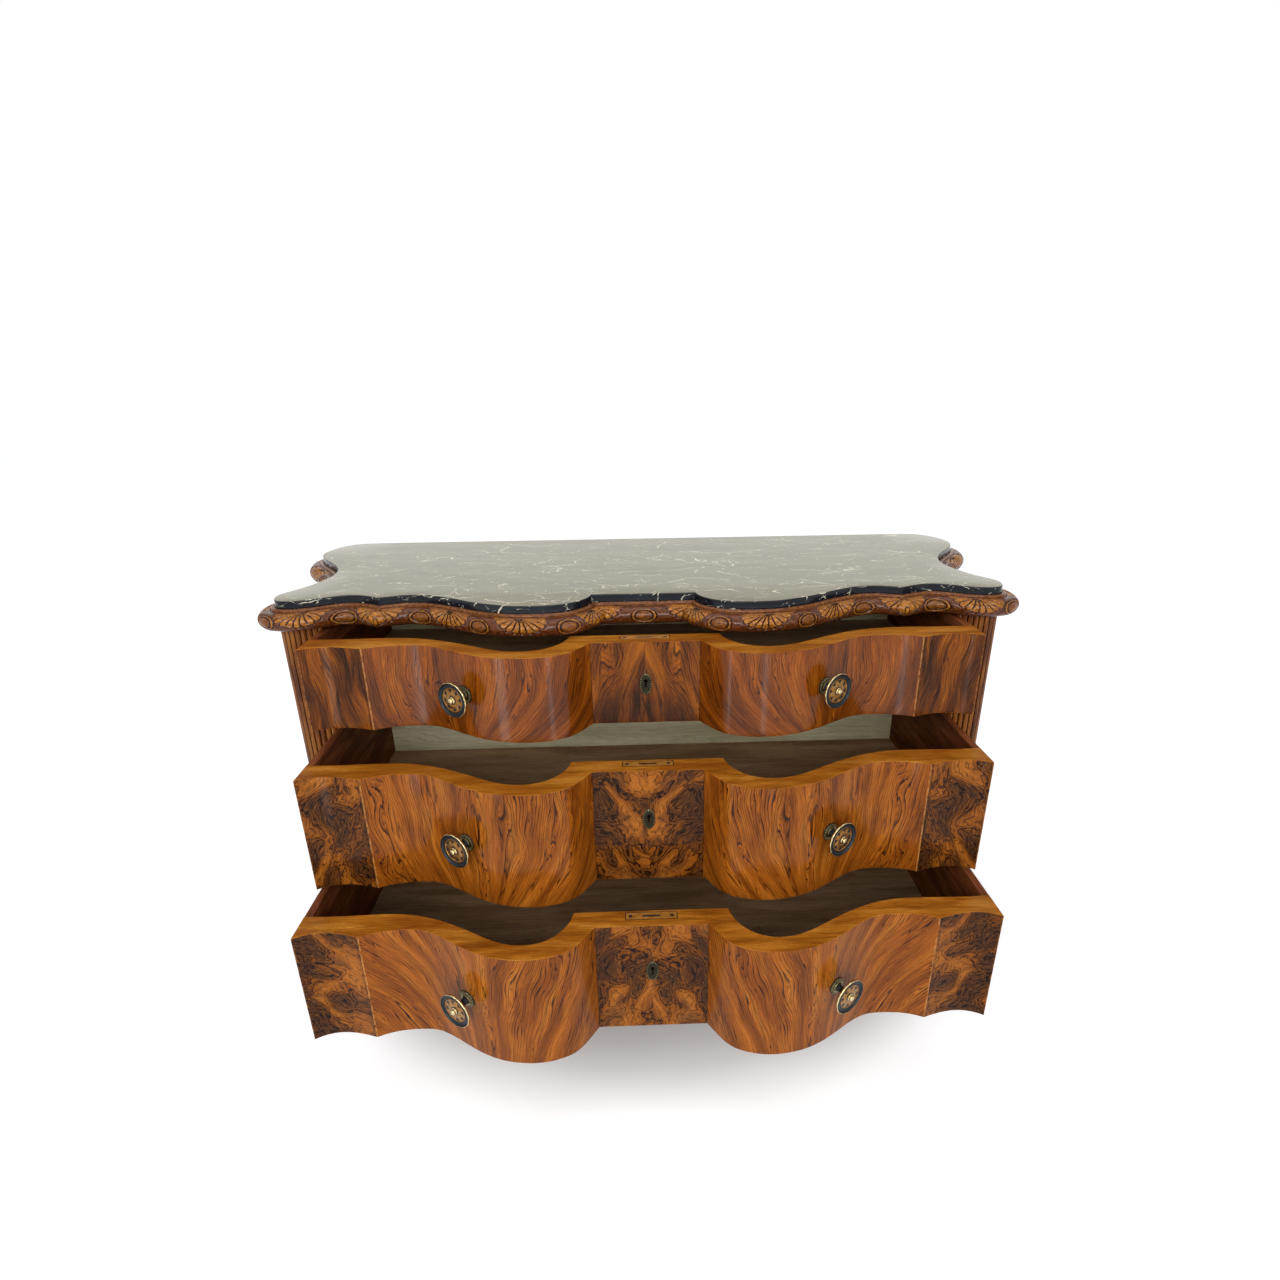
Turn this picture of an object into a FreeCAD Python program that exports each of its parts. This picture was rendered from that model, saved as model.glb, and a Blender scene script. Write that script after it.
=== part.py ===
import FreeCAD, Part
import math
import os
import re

import Sketcher

# Serpentine chest of drawers with a marble top, shown with its three drawers pulled out.
# X runs to the right, Y to the back, Z up. The floor is z = 0, and the origin lies in the
# middle of the width and of the depth that the chest takes up with its drawers as shown.

Vector = FreeCAD.Vector

# Driving dimensions in millimetres: alias, value, what it measures
drivingSizes = [
    ("frontPlane", -47.8, "y of the drawer fronts' end corners when the drawers are shut"),
    ("frontHalf", 552, "half width of a drawer front"),
    ("grooveHalf", 88.7, "half width of the flat middle panel of a front"),
    ("ridgeHalf", 451, "from the middle to the ridge between bulge and end panel"),
    ("bulgeReach", 58.5, "how far the bulge of a front stands out"),
    ("middleSet", 4.1, "how far the middle panel lies back"),
    ("middleWall", 34.4, "thickness of a front at its middle panel"),
    ("middleShoulder", 34.7, "inner shoulder beside the middle panel, past the groove"),
    ("endHollow", 12, "depth of the hollow in the end panel of a front"),
    ("frontWall", 49, "thickness of a front at its ends"),
    ("lowerHeight", 206.5, "height of the bottom drawer's front"),
    ("middleHeight", 206.5, "height of the middle drawer's front"),
    ("upperHeight", 143.5, "height of the top drawer's front"),
    ("lowerOpening", 299, "how far the bottom drawer is pulled out as shown"),
    ("middleOpening", 196, "how far the middle drawer is pulled out as shown"),
    ("upperOpening", 106, "how far the top drawer is pulled out as shown"),
    ("drawerGap", 1.2, "gap above and below a front"),
    ("drawerSideGap", 1.2, "gap at each side of a drawer"),
    ("sideWall", 12.4, "thickness of a drawer side"),
    ("sideLift", 7, "how far a drawer side stops above the front's lower edge"),
    ("topDrop", 0.5, "how far a drawer side stops below the front's top edge"),
    ("backWall", 12, "thickness of a drawer back"),
    ("backDrop", 6, "how far a drawer back stops below the front's top edge"),
    ("tailLength", 30, "length of the dovetails in a front"),
    ("tailPitch", 46, "height that one dovetail takes up, about"),
    ("floorLift", 31, "underside of a drawer's floor above the front's lower edge"),
    ("floorWall", 9, "thickness of a drawer's floor"),
    ("floorGroove", 5, "depth of the groove that holds the floor"),
    ("caseDepth", 462, "from the middle of the marble's front edge to the back"),
    ("topReach", 60, "how far the bulge of the marble stands out"),
    ("postWidth", 82, "from the opening for the drawers to the side of a front post"),
    ("postDepth", 66, "depth of a front post"),
    ("waistInset", 44, "how far the side draws in behind the front post"),
    ("notchInset", 27.5, "how far the side lies in where the rear corner starts"),
    ("notchDepth", 235, "where the rear corner starts, from the front"),
    ("rearSwell", 76.5, "how far the rear corner swells out past its start"),
    ("sidePanelWall", 18, "thickness of the case's side"),
    ("overhang", 2, "how far the marble stands past the case"),
    ("reedRise", 3.2, "height of a reed on the front posts"),
    ("reedPitch", 9.2, "width of one reed, about"),
    ("footHeight", 96, "height of a foot"),
    ("footRadius", 60, "largest radius of a foot"),
    ("footNeckRadius", 38, "radius of a foot under the case"),
    ("footPadRadius", 34, "radius of a foot on the floor"),
    ("footPostSet", 12, "how far the front feet stand in behind the post's face"),
    ("baseHeight", 60, "height of the base moulding"),
    ("baseReach", 14, "how far the base moulding stands out"),
    ("bottomRail", 25.8, "height of the rail under the bottom drawer"),
    ("lowerRail", 6.3, "height of the rail between the bottom and the middle drawer"),
    ("upperRail", 38, "height of the rail between the middle and the top drawer"),
    ("railSet", 3, "how far the rails lie behind the shut fronts"),
    ("dustBoard", 8, "thickness of the board behind the upper and the bottom rail"),
    ("runnerGap", 0.3, "gap between a drawer side and its runner"),
    ("runnerWidth", 37, "width of a runner"),
    ("guideHeight", 40, "height of the guides beside the drawers"),
    ("innerGap", 13, "from a drawer front's end to the inside of the case"),
    ("stopWidth", 12, "width of a stop block"),
    ("stopDepth", 12, "depth of a stop block"),
    ("stopHeight", 14, "height of a stop block"),
    ("stopGap", 0.4, "gap between a shut drawer and its stop blocks"),
    ("drawerBackRoom", 29, "from a shut drawer's back to the back panel"),
    ("backPanelWall", 10, "thickness of the back panel"),
    ("backPanelSet", 6, "how far the back panel lies in from the back"),
    ("boardSeam", 1.5, "width and depth of the seams between the back's boards"),
    ("mouldingGap", 3.9, "gap between the top drawer and the top moulding"),
    ("torusRadius", 14.5, "radius of the top moulding's rounded edge"),
    ("torusReach", 16, "how far the middle of that roundness lies past the marble"),
    ("lipReach", 7.5, "outer edge of the lip round the marble"),
    ("lipGap", 0.5, "gap between the marble and the lip"),
    ("lipHeight", 2, "height of the lip above the marble's underside"),
    ("lipGroove", 0.8, "height of the groove under the lip"),
    ("mouldingHeight", 32.1, "height of the top moulding up to the marble"),
    ("marbleWall", 15, "thickness of the marble"),
    ("marbleBevel", 1.2, "bevel along the marble's upper edge"),
    ("frameInset", 45, "width of the moulded frame's front rail at the middle"),
    ("frameRear", 32, "width of the moulded frame's rear rail"),
    ("frameSide", 20, "how much narrower the frame's opening is than the case inside"),
    ("knobHalf", 288, "from the middle to a knob"),
    ("knobRadius", 29.5, "radius of a knob's disc"),
    ("knobReach", 27, "how far a knob's disc stands out"),
    ("knobRim", 3, "thickness of the disc's rim"),
    ("knobDish", 2.5, "depth of the dish in the disc"),
    ("knobNeck", 5.5, "radius of a knob's neck"),
    ("knobBoss", 4.5, "radius of the boss in the middle of the disc"),
    ("knobBossRise", 7, "how far that boss stands out of the dish"),
    ("stemRadius", 3, "radius of a knob's threaded stem"),
    ("stemGap", 0.2, "gap between the stem and its hole"),
    ("stemLength", 33, "length of the stem behind the front's face"),
    ("plateRadius", 15, "radius of a knob's back plate"),
    ("plateWall", 4, "thickness of a knob's back plate"),
    ("plateSeat", 0.8, "depth of the plate's seat in the front"),
    ("nutDepth", 25, "from the front's face to the nut inside"),
    ("nutRadius", 7.5, "radius of the nut over its corners"),
    ("nutHeight", 5, "height of the nut"),
    ("nutRecess", 10, "radius of the recess for the nut"),
    ("escutcheonHalf", 10.2, "half width of an escutcheon"),
    ("escutcheonRise", 19, "half height of an escutcheon"),
    ("escutcheonWall", 1.8, "thickness of an escutcheon"),
    ("keyRadius", 3.2, "radius of the round part of a keyhole"),
    ("keySlotHalf", 1.5, "half width of a keyhole's slot"),
    ("keySlotDrop", 11, "length of a keyhole's slot"),
    ("upperKeyDrop", 68, "from the top edge to the keyhole, top drawer"),
    ("lowerKeyDrop", 84, "from the top edge to the keyhole, other drawers"),
    ("lockHalf", 40, "half length of a lock's plate in the top edge"),
    ("lockDepth", 15, "width of that plate"),
    ("lockSet", 15.2, "from the middle panel to that plate"),
    ("lockPlate", 2.5, "thickness of that plate"),
    ("lockCaseHalf", 26, "half width of the lock's case"),
    ("lockCaseWall", 12, "thickness of the lock's case"),
    ("lockTail", 16, "how far the lock's case reaches below the keyhole"),
    ("boltHalf", 14, "half width of a lock bolt"),
    ("boltWall", 4, "thickness of a lock bolt"),
    ("boltLength", 30, "length of a lock bolt"),
    ("boltGap", 0.2, "gap between a bolt and its channel"),
    ("boltThrow", 6, "how far a bolt rises"),
    ("mortiseGap", 1, "gap round a raised bolt in the rail above"),
    ("screwHalf", 33, "from the middle to a screw of the lock's plate"),
    ("screwRadius", 1.6, "radius of that screw's shank"),
    ("screwHead", 3.2, "radius of that screw's head"),
    ("screwHeadDeep", 1.8, "height of that screw's countersunk head"),
    ("screwLength", 14, "length of that screw"),
    ("overrun", 5, "how far a cutting shape runs past what it cuts"),
]

# Hand-chosen points of the curves, as shares of the sizes that they follow.
# Front, from groove to ridge: share of the way, share of the bulge's reach
bulgeShares = [
    (0.05, 0.39), (0.106, 0.75), (0.142, 0.86), (0.238, 1.0), (0.327, 0.99), (0.426, 0.855),
    (0.528, 0.56), (0.638, 0.12), (0.757, -0.205), (0.796, -0.222), (0.9, -0.188), (1.0, 0.0),
]
# End panel of a front, from ridge to end: share of the way, share of the hollow
endPanelShares = [(0.25, 0.62), (0.6, 1.0), (0.85, 0.62), (1.0, 0.0)]
# Inside of a front, from its shoulder to the drawer side: share of the way, share of the reach
innerShares = [
    (0.033, 0.803), (0.095, 1.197), (0.167, 1.325), (0.251, 1.231), (0.352, 0.872),
    (0.499, 0.325), (0.612, 0.068), (0.8, 0.0), (1.0, 0.0),
]
# Marble, from groove to cusp: share of the way, share of its reach
marbleShares = [
    (0.044, 0.55), (0.086, 0.767), (0.141, 0.917), (0.21, 0.992), (0.293, 1.0), (0.373, 0.942),
    (0.456, 0.767), (0.541, 0.533), (0.622, 0.217), (0.71, -0.083), (0.776, -0.267),
    (0.826, -0.333), (0.895, -0.333), (0.959, -0.217), (1.0, -0.125),
]
# Marble over the front post, from cusp to the post's side: share of the way, share of its depth
lobeShares = [
    (0.104, 0.258), (0.251, 0.394), (0.377, 0.379), (0.514, 0.212), (0.678, 0.0),
    (0.814, -0.076), (0.923, 0.0), (0.989, 0.288), (0.995, 0.606), (0.923, 1.0),
]
# Front post: share of its width, share of its depth
postShares = [
    (0.0, 0.12), (0.27, 0.015), (0.58, -0.046), (0.8, 0.03), (0.96, 0.3), (0.965, 0.62),
    (0.84, 0.93),
]
# Side between front post and rear corner: share of the waist's inset, share of the way
sideShares = [(0.318, 0.0), (0.636, 0.166), (0.864, 0.355), (1.0, 0.533), (0.955, 0.757), (0.625, 1.0)]
# Rear corner: share of its swell, share of the way to the back
rearShares = [
    (0.0, 0.0), (0.438, 0.216), (0.908, 0.463), (1.0, 0.59), (0.935, 0.744), (0.765, 0.877),
    (0.542, 0.952), (0.268, 0.991), (-0.085, 1.0),
]
# Foot: share of its bulge between pad and largest radius, share of its height
footShares = [(0.0, 0.0), (0.55, 0.06), (0.93, 0.25), (1.0, 0.42), (0.9, 0.62), (0.62, 0.78)]
footNeckShare = 0.88
# Base moulding: share of its reach, share of its height
baseShares = [(1.0, 0.0), (1.0, 0.6), (0.8, 0.72), (0.25, 0.85), (0.0, 1.0)]
# A knob's height on its front, and a dovetail's half width at root and tip, by its pitch
knobHeightShare = 0.51
rootTailShare = 0.27
tipTailShare = 0.36
backBoards = 5

doc = FreeCAD.newDocument("SerpentineChest")
sheet = doc.addObject("Spreadsheet::Sheet", "Dim")
for row, (alias, size, meaning) in enumerate(drivingSizes, start=1):
    sheet.set(f"A{row}", meaning)
    sheet.set(f"B{row}", str(size))
    sheet.setAlias(f"B{row}", alias)
doc.recompute()

pieces = []


def bound(formula):
    # A formula in the sheet's aliases, as an expression that reads the sheet
    return re.sub(r"[A-Za-z]\w*", lambda word: "Dim." + word.group(), formula)


def value(formula):
    return float(sheet.evalExpression(bound(formula)))


def bind(item, **formulas):
    for name, formula in formulas.items():
        item.setExpression(name, bound(formula))


def place(item, x="0", y="0", z="0"):
    for axis, formula in (("x", x), ("y", y), ("z", z)):
        item.setExpression("Placement.Base." + axis, bound(formula))
    return item


def keep(item, label):
    # A finished piece: its label names its file
    item.Label = label
    pieces.append(item)
    return item


def box(name, x, y, z, length, width, height):
    item = doc.addObject("Part::Box", name)
    bind(item, Length=length, Width=width, Height=height)
    return place(item, x, y, z)


def outline(name, edges):
    item = doc.addObject("Part::Feature", name)
    item.Shape = Part.Wire(edges)
    return item


def extrude(name, profile, direction, length):
    item = doc.addObject("Part::Extrusion", name)
    item.Base = profile
    item.DirMode = "Custom"
    item.Dir = direction
    bind(item, LengthFwd=length)
    item.Solid = True
    return item


def cut(name, base, tools):
    item = doc.addObject("Part::Cut", name)
    item.Base = base
    item.Tool = tools[0] if len(tools) == 1 else group(name + "Tools", tools)
    return item


def group(name, items):
    item = doc.addObject("Part::Compound", name)
    item.Links = items
    return item


def mirrored(name, source):
    item = doc.addObject("Part::Mirroring", name)
    item.Source = source
    item.Normal = Vector(1, 0, 0)
    return item


def loft(name, sections):
    item = doc.addObject("Part::Loft", name)
    item.Sections = sections
    item.Solid = True
    item.Ruled = True
    return item


def turned(name, points):
    # A turned body about Z; points are pairs of formulas, radius and height
    body = doc.addObject("PartDesign::Body", name)
    sketch = body.newObject("Sketcher::SketchObject", name + "Profile")
    plane = [item for item in body.Origin.OriginFeatures if item.Role == "XZ_Plane"][0]
    sketch.AttachmentSupport = [(plane, "")]
    sketch.MapMode = "FlatFace"
    corners = [Vector(value(radius), value(height), 0) for radius, height in points]
    count = len(corners)
    for index in range(count):
        sketch.addGeometry(Part.LineSegment(corners[index], corners[(index + 1) % count]), False)
    for index in range(count):
        sketch.addConstraint(Sketcher.Constraint("Coincident", index, 2, (index + 1) % count, 1))
    for index, (radius, height) in enumerate(points):
        across = Sketcher.Constraint("DistanceX", -1, 1, index, 1, corners[index].x)
        sketch.setExpression(f"Constraints[{sketch.addConstraint(across)}]", bound(radius))
        upward = Sketcher.Constraint("DistanceY", -1, 1, index, 1, corners[index].y)
        sketch.setExpression(f"Constraints[{sketch.addConstraint(upward)}]", bound(height))
    turn = body.newObject("PartDesign::Revolution", name + "Turn")
    turn.Profile = sketch
    turn.ReferenceAxis = (sketch, ["V_Axis"])
    turn.Angle = 360
    return body


def lineEdge(start, end):
    return Part.LineSegment(start, end).toShape()


def splineCurve(points):
    curve = Part.BSplineCurve()
    curve.interpolate(points)
    return curve


def flipped(points):
    return [Vector(-point.x, point.y, point.z) for point in reversed(points)]


def lifted(points, height):
    return [Vector(point.x, point.y, height) for point in points]


# Curves of a drawer front, y measured from the plane of its end corners

def bulgePoints():
    start = value("grooveHalf")
    run = value("ridgeHalf - grooveHalf")
    reach = value("bulgeReach")
    points = [Vector(start, value("middleSet"), 0)]
    points += [Vector(start + along * run, -out * reach, 0) for along, out in bulgeShares]
    return points


def endPanelPoints():
    start = value("ridgeHalf")
    run = value("frontHalf - ridgeHalf")
    hollow = value("endHollow")
    points = [Vector(start, 0, 0)]
    points += [Vector(start + along * run, deep * hollow, 0) for along, deep in endPanelShares]
    return points


def innerPoints(shift):
    start = value("grooveHalf + middleShoulder")
    run = value("frontHalf - sideWall") - start
    reach = value("bulgeReach")
    wall = value("frontWall") - shift
    points = [Vector(start, value("middleSet + middleWall") - shift, 0)]
    points += [Vector(start + along * run, wall - out * reach, 0) for along, out in innerShares]
    return points


def setBack(points, distance):
    return [Vector(point.x, point.y + distance, 0) for point in points]


def faceEdges(distance, half):
    # The serpentine face set back by a distance, from the left end to the right one
    bulge = setBack(bulgePoints(), distance)
    panel = setBack(endPanelPoints(), distance)
    right = [splineCurve(bulge).toShape(), splineCurve(panel).toShape()]
    left = [splineCurve(flipped(panel)).toShape(), splineCurve(flipped(bulge)).toShape()]
    if half > panel[-1].x:
        right.append(lineEdge(panel[-1], Vector(half, distance, 0)))
        left.insert(0, lineEdge(Vector(-half, distance, 0), flipped(panel)[0]))
    return left + [lineEdge(flipped(bulge)[-1], bulge[0])] + right


def closedByBack(edges, half, front, back):
    # Ends and a straight back edge that close a run of face edges
    rearRight = Vector(half, back, 0)
    rearLeft = Vector(-half, back, 0)
    return edges + [
        lineEdge(Vector(half, front, 0), rearRight),
        lineEdge(rearRight, rearLeft),
        lineEdge(rearLeft, Vector(-half, front, 0)),
    ]


def frontOutline(name):
    half = value("frontHalf")
    inner = innerPoints(0)
    end = Vector(half, value("frontWall"), 0)
    edges = faceEdges(0, half)
    edges.append(lineEdge(Vector(half, 0, 0), end))
    edges.append(lineEdge(end, inner[-1]))
    edges.append(splineCurve(list(reversed(inner))).toShape())
    edges.append(lineEdge(inner[0], flipped(inner[:1])[0]))
    edges.append(splineCurve(list(reversed(flipped(inner)))).toShape())
    edges.append(lineEdge(flipped(inner)[0], Vector(-half, end.y, 0)))
    edges.append(lineEdge(Vector(-half, end.y, 0), Vector(-half, 0, 0)))
    return outline(name, edges)


def floorOutline(name):
    # The drawer's floor: its front edge lies in the groove of the front
    half = value("frontHalf - sideWall + floorGroove")
    inner = innerPoints(value("floorGroove"))
    left = flipped(inner)
    edges = [lineEdge(Vector(-half, left[0].y, 0), left[0])]
    edges.append(splineCurve(left).toShape())
    edges.append(lineEdge(left[-1], inner[0]))
    edges.append(splineCurve(inner).toShape())
    edges.append(lineEdge(inner[-1], Vector(half, inner[-1].y, 0)))
    return outline(name, closedByBack(edges, half, inner[-1].y, value(drawerLength)))


def sideOutline(name, height):
    # A drawer side seen from the side, with dovetails at both ends
    low = value("sideLift")
    tall = value(height + " - sideLift - topDrop")
    count = max(2, round(tall / value("tailPitch")))
    pitch = tall / count
    front = value("frontWall")
    frontTip = value("frontWall - tailLength")
    rear = value(drawerLength + " - backWall")
    rearTip = value(drawerLength)
    points = [Vector(0, front, low), Vector(0, rear, low)]
    for index in range(count):
        middle = low + (index + 0.5) * pitch
        points.append(Vector(0, rear, middle - rootTailShare * pitch))
        points.append(Vector(0, rearTip, middle - tipTailShare * pitch))
        points.append(Vector(0, rearTip, middle + tipTailShare * pitch))
        points.append(Vector(0, rear, middle + rootTailShare * pitch))
    points += [Vector(0, rear, low + tall), Vector(0, front, low + tall)]
    for index in reversed(range(count)):
        middle = low + (index + 0.5) * pitch
        points.append(Vector(0, front, middle + rootTailShare * pitch))
        points.append(Vector(0, frontTip, middle + tipTailShare * pitch))
        points.append(Vector(0, frontTip, middle - tipTailShare * pitch))
        points.append(Vector(0, front, middle - rootTailShare * pitch))
    item = doc.addObject("Part::Feature", name)
    item.Shape = Part.makePolygon(points + points[:1])
    return item


# Curves of the case in plan, y measured from the middle of the marble's front edge

def caseRuns():
    # Right half from the groove beside the middle to the back, as runs of points
    groove = value("grooveHalf")
    cusp = value("ridgeHalf")
    side = value("frontHalf + postWidth")
    depth = value("caseDepth")
    reach = value("topReach")
    notch = value("notchDepth")
    front = [Vector(groove, 0, 0)]
    front += [Vector(groove + along * (cusp - groove), -out * reach, 0) for along, out in marbleShares]
    ends = [front[-1]]
    deepest = value("postDepth")
    ends += [Vector(cusp + along * (side - cusp), deep * deepest, 0) for along, deep in lobeShares]
    ends += sidePoints(0)[1:]
    rear = rearPoints(0)
    return [[Vector(0, 0, 0), front[0]], front, ends, rear[:-1] + [Vector(rear[-1].x, depth, 0)]]


def sidePoints(inset):
    side = value("frontHalf + postWidth") - inset
    start = value("postDepth")
    run = value("notchDepth") - start
    waist = value("waistInset")
    return [Vector(side - deep * waist, start + along * run, 0) for deep, along in sideShares]


def rearPoints(inset):
    start = value("frontHalf + postWidth - notchInset") - inset
    swell = value("rearSwell")
    notch = value("notchDepth")
    run = value("caseDepth") - notch
    return [Vector(start + out * swell, notch + along * run, 0) for out, along in rearShares]


def outwards(points):
    # Outward directions along a run of the right half, one for each point
    if len(points) == 2:
        tangent = points[1] - points[0]
        tangent.normalize()
        return [Vector(tangent.y, -tangent.x, 0)] * 2
    curve = splineCurve(points)
    directions = []
    for point in points:
        tangent = curve.tangent(curve.parameter(point))[0]
        directions.append(Vector(tangent.y, -tangent.x, 0))
    return directions


def caseOutline(name, distance, height):
    # The case's outline moved outwards by a distance, at a height
    runs = caseRuns()
    directions = [outwards(run) for run in runs]
    for before, after in zip(directions, directions[1:]):
        mitre = before[-1] + after[0]
        mitre.multiply(1 / (1 + before[-1].dot(after[0])))
        before[-1] = mitre
        after[0] = mitre
    moved = []
    for run, outward in zip(runs, directions):
        moved.append([point + direction * distance for point, direction in zip(run, outward)])
    moved = [lifted(run, height) for run in moved]
    groove = moved[0][-1]
    rear = moved[-1][-1]
    edges = [lineEdge(Vector(-groove.x, groove.y, height), groove)]
    edges += [splineCurve(run).toShape() for run in moved[1:]]
    edges.append(lineEdge(rear, Vector(-rear.x, rear.y, height)))
    edges += [splineCurve(flipped(run)).toShape() for run in reversed(moved[1:])]
    return outline(name, edges)


def caseLoft(name, levels):
    # A ring or slab that follows the case's outline through levels of distance and height
    sections = []
    for index, (distance, height) in enumerate(levels):
        section = caseOutline(f"{name}Level{index}", value(distance), value(height))
        sections.append(section)
    return place(loft(name, sections), "0", "frontPlane", "0")


# Heights of the build, from the floor up
baseTop = "(footHeight + baseHeight)"
lowerFloor = f"({baseTop} + bottomRail)"
lowerZ = f"({lowerFloor} + drawerGap)"
lowerTop = f"({lowerZ} + lowerHeight + drawerGap)"
middleFloor = f"({lowerTop} + lowerRail)"
middleZ = f"({middleFloor} + drawerGap)"
middleTop = f"({middleZ} + middleHeight + drawerGap)"
upperFloor = f"({middleTop} + upperRail)"
upperZ = f"({upperFloor} + drawerGap)"
mouldingZ = f"({upperZ} + upperHeight + mouldingGap)"
marbleZ = f"({mouldingZ} + mouldingHeight)"

# Depths of the build, from the plane of the shut fronts' corners
panelFront = "(caseDepth - backPanelSet - backPanelWall)"
drawerLength = f"({panelFront} - drawerBackRoom)"
innerHalf = "(frontHalf + innerGap)"
frameHalf = f"({innerHalf} - frameSide)"
openingHalf = "(frontHalf + drawerSideGap)"

# Each drawer: its lower edge, height, opening, the drop to its keyhole and the board it runs over
drawers = [
    {"name": "lower_drawer", "z": lowerZ, "tall": "lowerHeight", "open": "lowerOpening",
     "key": "lowerKeyDrop", "board": lowerFloor},
    {"name": "middle_drawer", "z": middleZ, "tall": "middleHeight", "open": "middleOpening",
     "key": "lowerKeyDrop", "board": middleFloor},
    {"name": "upper_drawer", "z": upperZ, "tall": "upperHeight", "open": "upperOpening",
     "key": "upperKeyDrop", "board": f"({middleTop} + dustBoard)"},
]


def knobSeat():
    # Where a knob stands on the front's curve, and the direction that it points in
    curve = splineCurve(bulgePoints())
    low, high = curve.FirstParameter, curve.LastParameter
    target = value("knobHalf")
    for step in range(40):
        middle = (low + high) / 2
        if curve.value(middle).x < target:
            low = middle
        else:
            high = middle
    tangent = curve.tangent(low)[0]
    return curve.value(low), Vector(tangent.y, -tangent.x, 0)


def seated(item, drawer, seat, direction, depth="0"):
    # Puts an item that is built about Z on the knob's place of a drawer
    point = seat - direction * value(depth)
    y = value(f"frontPlane - {drawer['open']}") + point.y
    z = value(f"{drawer['z']} + {drawer['tall']} * {knobHeightShare}")
    item.Placement = FreeCAD.Placement(
        Vector(point.x, y, z), FreeCAD.Rotation(Vector(0, 0, 1), direction)
    )
    return item


def makeKnobs(drawer):
    # Two knobs with their back plates and nuts, and the holes that they need
    name = drawer["name"]
    seat, direction = knobSeat()
    knob = turned(name + "Knob", [
        ("0", "-stemLength"),
        ("stemRadius", "-stemLength"),
        ("stemRadius", "plateWall - plateSeat"),
        ("knobNeck + 2 * plateSeat", "plateWall - plateSeat"),
        ("knobNeck", "plateWall + knobRim"),
        ("knobNeck", "knobReach - 3 * knobRim - knobDish"),
        ("knobNeck + knobBoss", "knobReach - 2 * knobRim - knobDish"),
        ("knobRadius - knobRim", "knobReach - knobRim"),
        ("knobRadius", "knobReach - knobRim / 2"),
        ("knobRadius", "knobReach + knobRim / 2"),
        ("knobRadius - knobRim / 2", "knobReach + knobRim / 2"),
        ("knobRadius - 2 * knobRim", "knobReach + knobRim / 2 - knobDish"),
        ("knobBoss", "knobReach + knobRim / 2 - knobDish"),
        ("knobBoss", "knobReach + knobRim / 2 - knobDish + knobBossRise / 2"),
        ("knobBoss / 2", "knobReach + knobRim / 2 - knobDish + knobBossRise"),
        ("0", "knobReach + knobRim / 2 - knobDish + knobBossRise"),
    ])
    plate = turned(name + "Plate", [
        ("stemRadius + stemGap", "-plateSeat"),
        ("plateRadius", "-plateSeat"),
        ("plateRadius", "plateWall / 2 - plateSeat"),
        ("plateRadius * 2 / 3", "plateWall - plateSeat"),
        ("stemRadius + stemGap", "plateWall - plateSeat"),
    ])
    hole = turned(name + "KnobHole", [
        ("0", "-frontWall - overrun"),
        ("nutRecess", "-frontWall - overrun"),
        ("nutRecess", "-nutDepth"),
        ("stemRadius + stemGap", "-nutDepth"),
        ("stemRadius + stemGap", "-plateSeat"),
        ("plateRadius + stemGap", "-plateSeat"),
        ("plateRadius + stemGap", "overrun"),
        ("0", "overrun"),
    ])
    blank = doc.addObject("Part::Prism", name + "NutBlank")
    blank.Polygon = 6
    bind(blank, Circumradius="nutRadius", Height="nutHeight")
    bore = doc.addObject("Part::Cylinder", name + "NutBore")
    bind(bore, Radius="stemRadius", Height="nutHeight")
    for item in (knob, plate, hole):
        seated(item, drawer, seat, direction)
    for item in (blank, bore):
        seated(item, drawer, seat, direction, "nutDepth + nutHeight")
    nut = cut(name + "Nut", blank, [bore])
    for item, word in ((knob, "knobs"), (plate, "knob_plates"), (nut, "knob_nuts")):
        pair = group(name + word.title().replace("_", ""), [item, mirrored(item.Name + "Left", item)])
        keep(pair, f"{name}_{word}")
    return [hole, mirrored(name + "KnobHoleLeft", hole)]


def makeKeyhole(drawer):
    # The shape that cuts a keyhole through escutcheon, front and lock
    name = drawer["name"]
    y = f"frontPlane - {drawer['open']} + middleSet"
    z = f"{drawer['z']} + {drawer['tall']} - {drawer['key']}"
    through = "lockSet + lockDepth / 2 + escutcheonWall + overrun"
    round_ = doc.addObject("Part::Cylinder", name + "KeyRound")
    bind(round_, Radius="keyRadius", Height=through)
    round_.Placement.Rotation = FreeCAD.Rotation(Vector(0, 0, 1), Vector(0, 1, 0))
    place(round_, "0", y + " - escutcheonWall - overrun", z)
    slot = box(name + "KeySlot", "-keySlotHalf", y + " - escutcheonWall - overrun",
               z + " - keySlotDrop", "2 * keySlotHalf", through, "keySlotDrop")
    shape = doc.addObject("Part::Fuse", name + "Keyhole")
    shape.Base = round_
    shape.Tool = slot
    return shape


def makeEscutcheon(drawer, keyhole):
    name = drawer["name"]
    y = f"frontPlane - {drawer['open']} + middleSet"
    z = f"{drawer['z']} + {drawer['tall']} - {drawer['key']} - keySlotDrop / 2"
    oval = doc.addObject("Part::Ellipse", name + "Oval")
    bind(oval, MajorRadius="escutcheonRise", MinorRadius="escutcheonHalf")
    oval.Placement.Rotation = FreeCAD.Rotation(Vector(0, 0, 1), Vector(1, 0, 0), Vector(0, 1, 0), "ZXY")
    blank = extrude(name + "EscutcheonBlank", oval, Vector(0, -1, 0), "escutcheonWall")
    place(blank, "0", y, z)
    return keep(cut(name + "Escutcheon", blank, [keyhole]), name + "_escutcheon")


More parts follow.
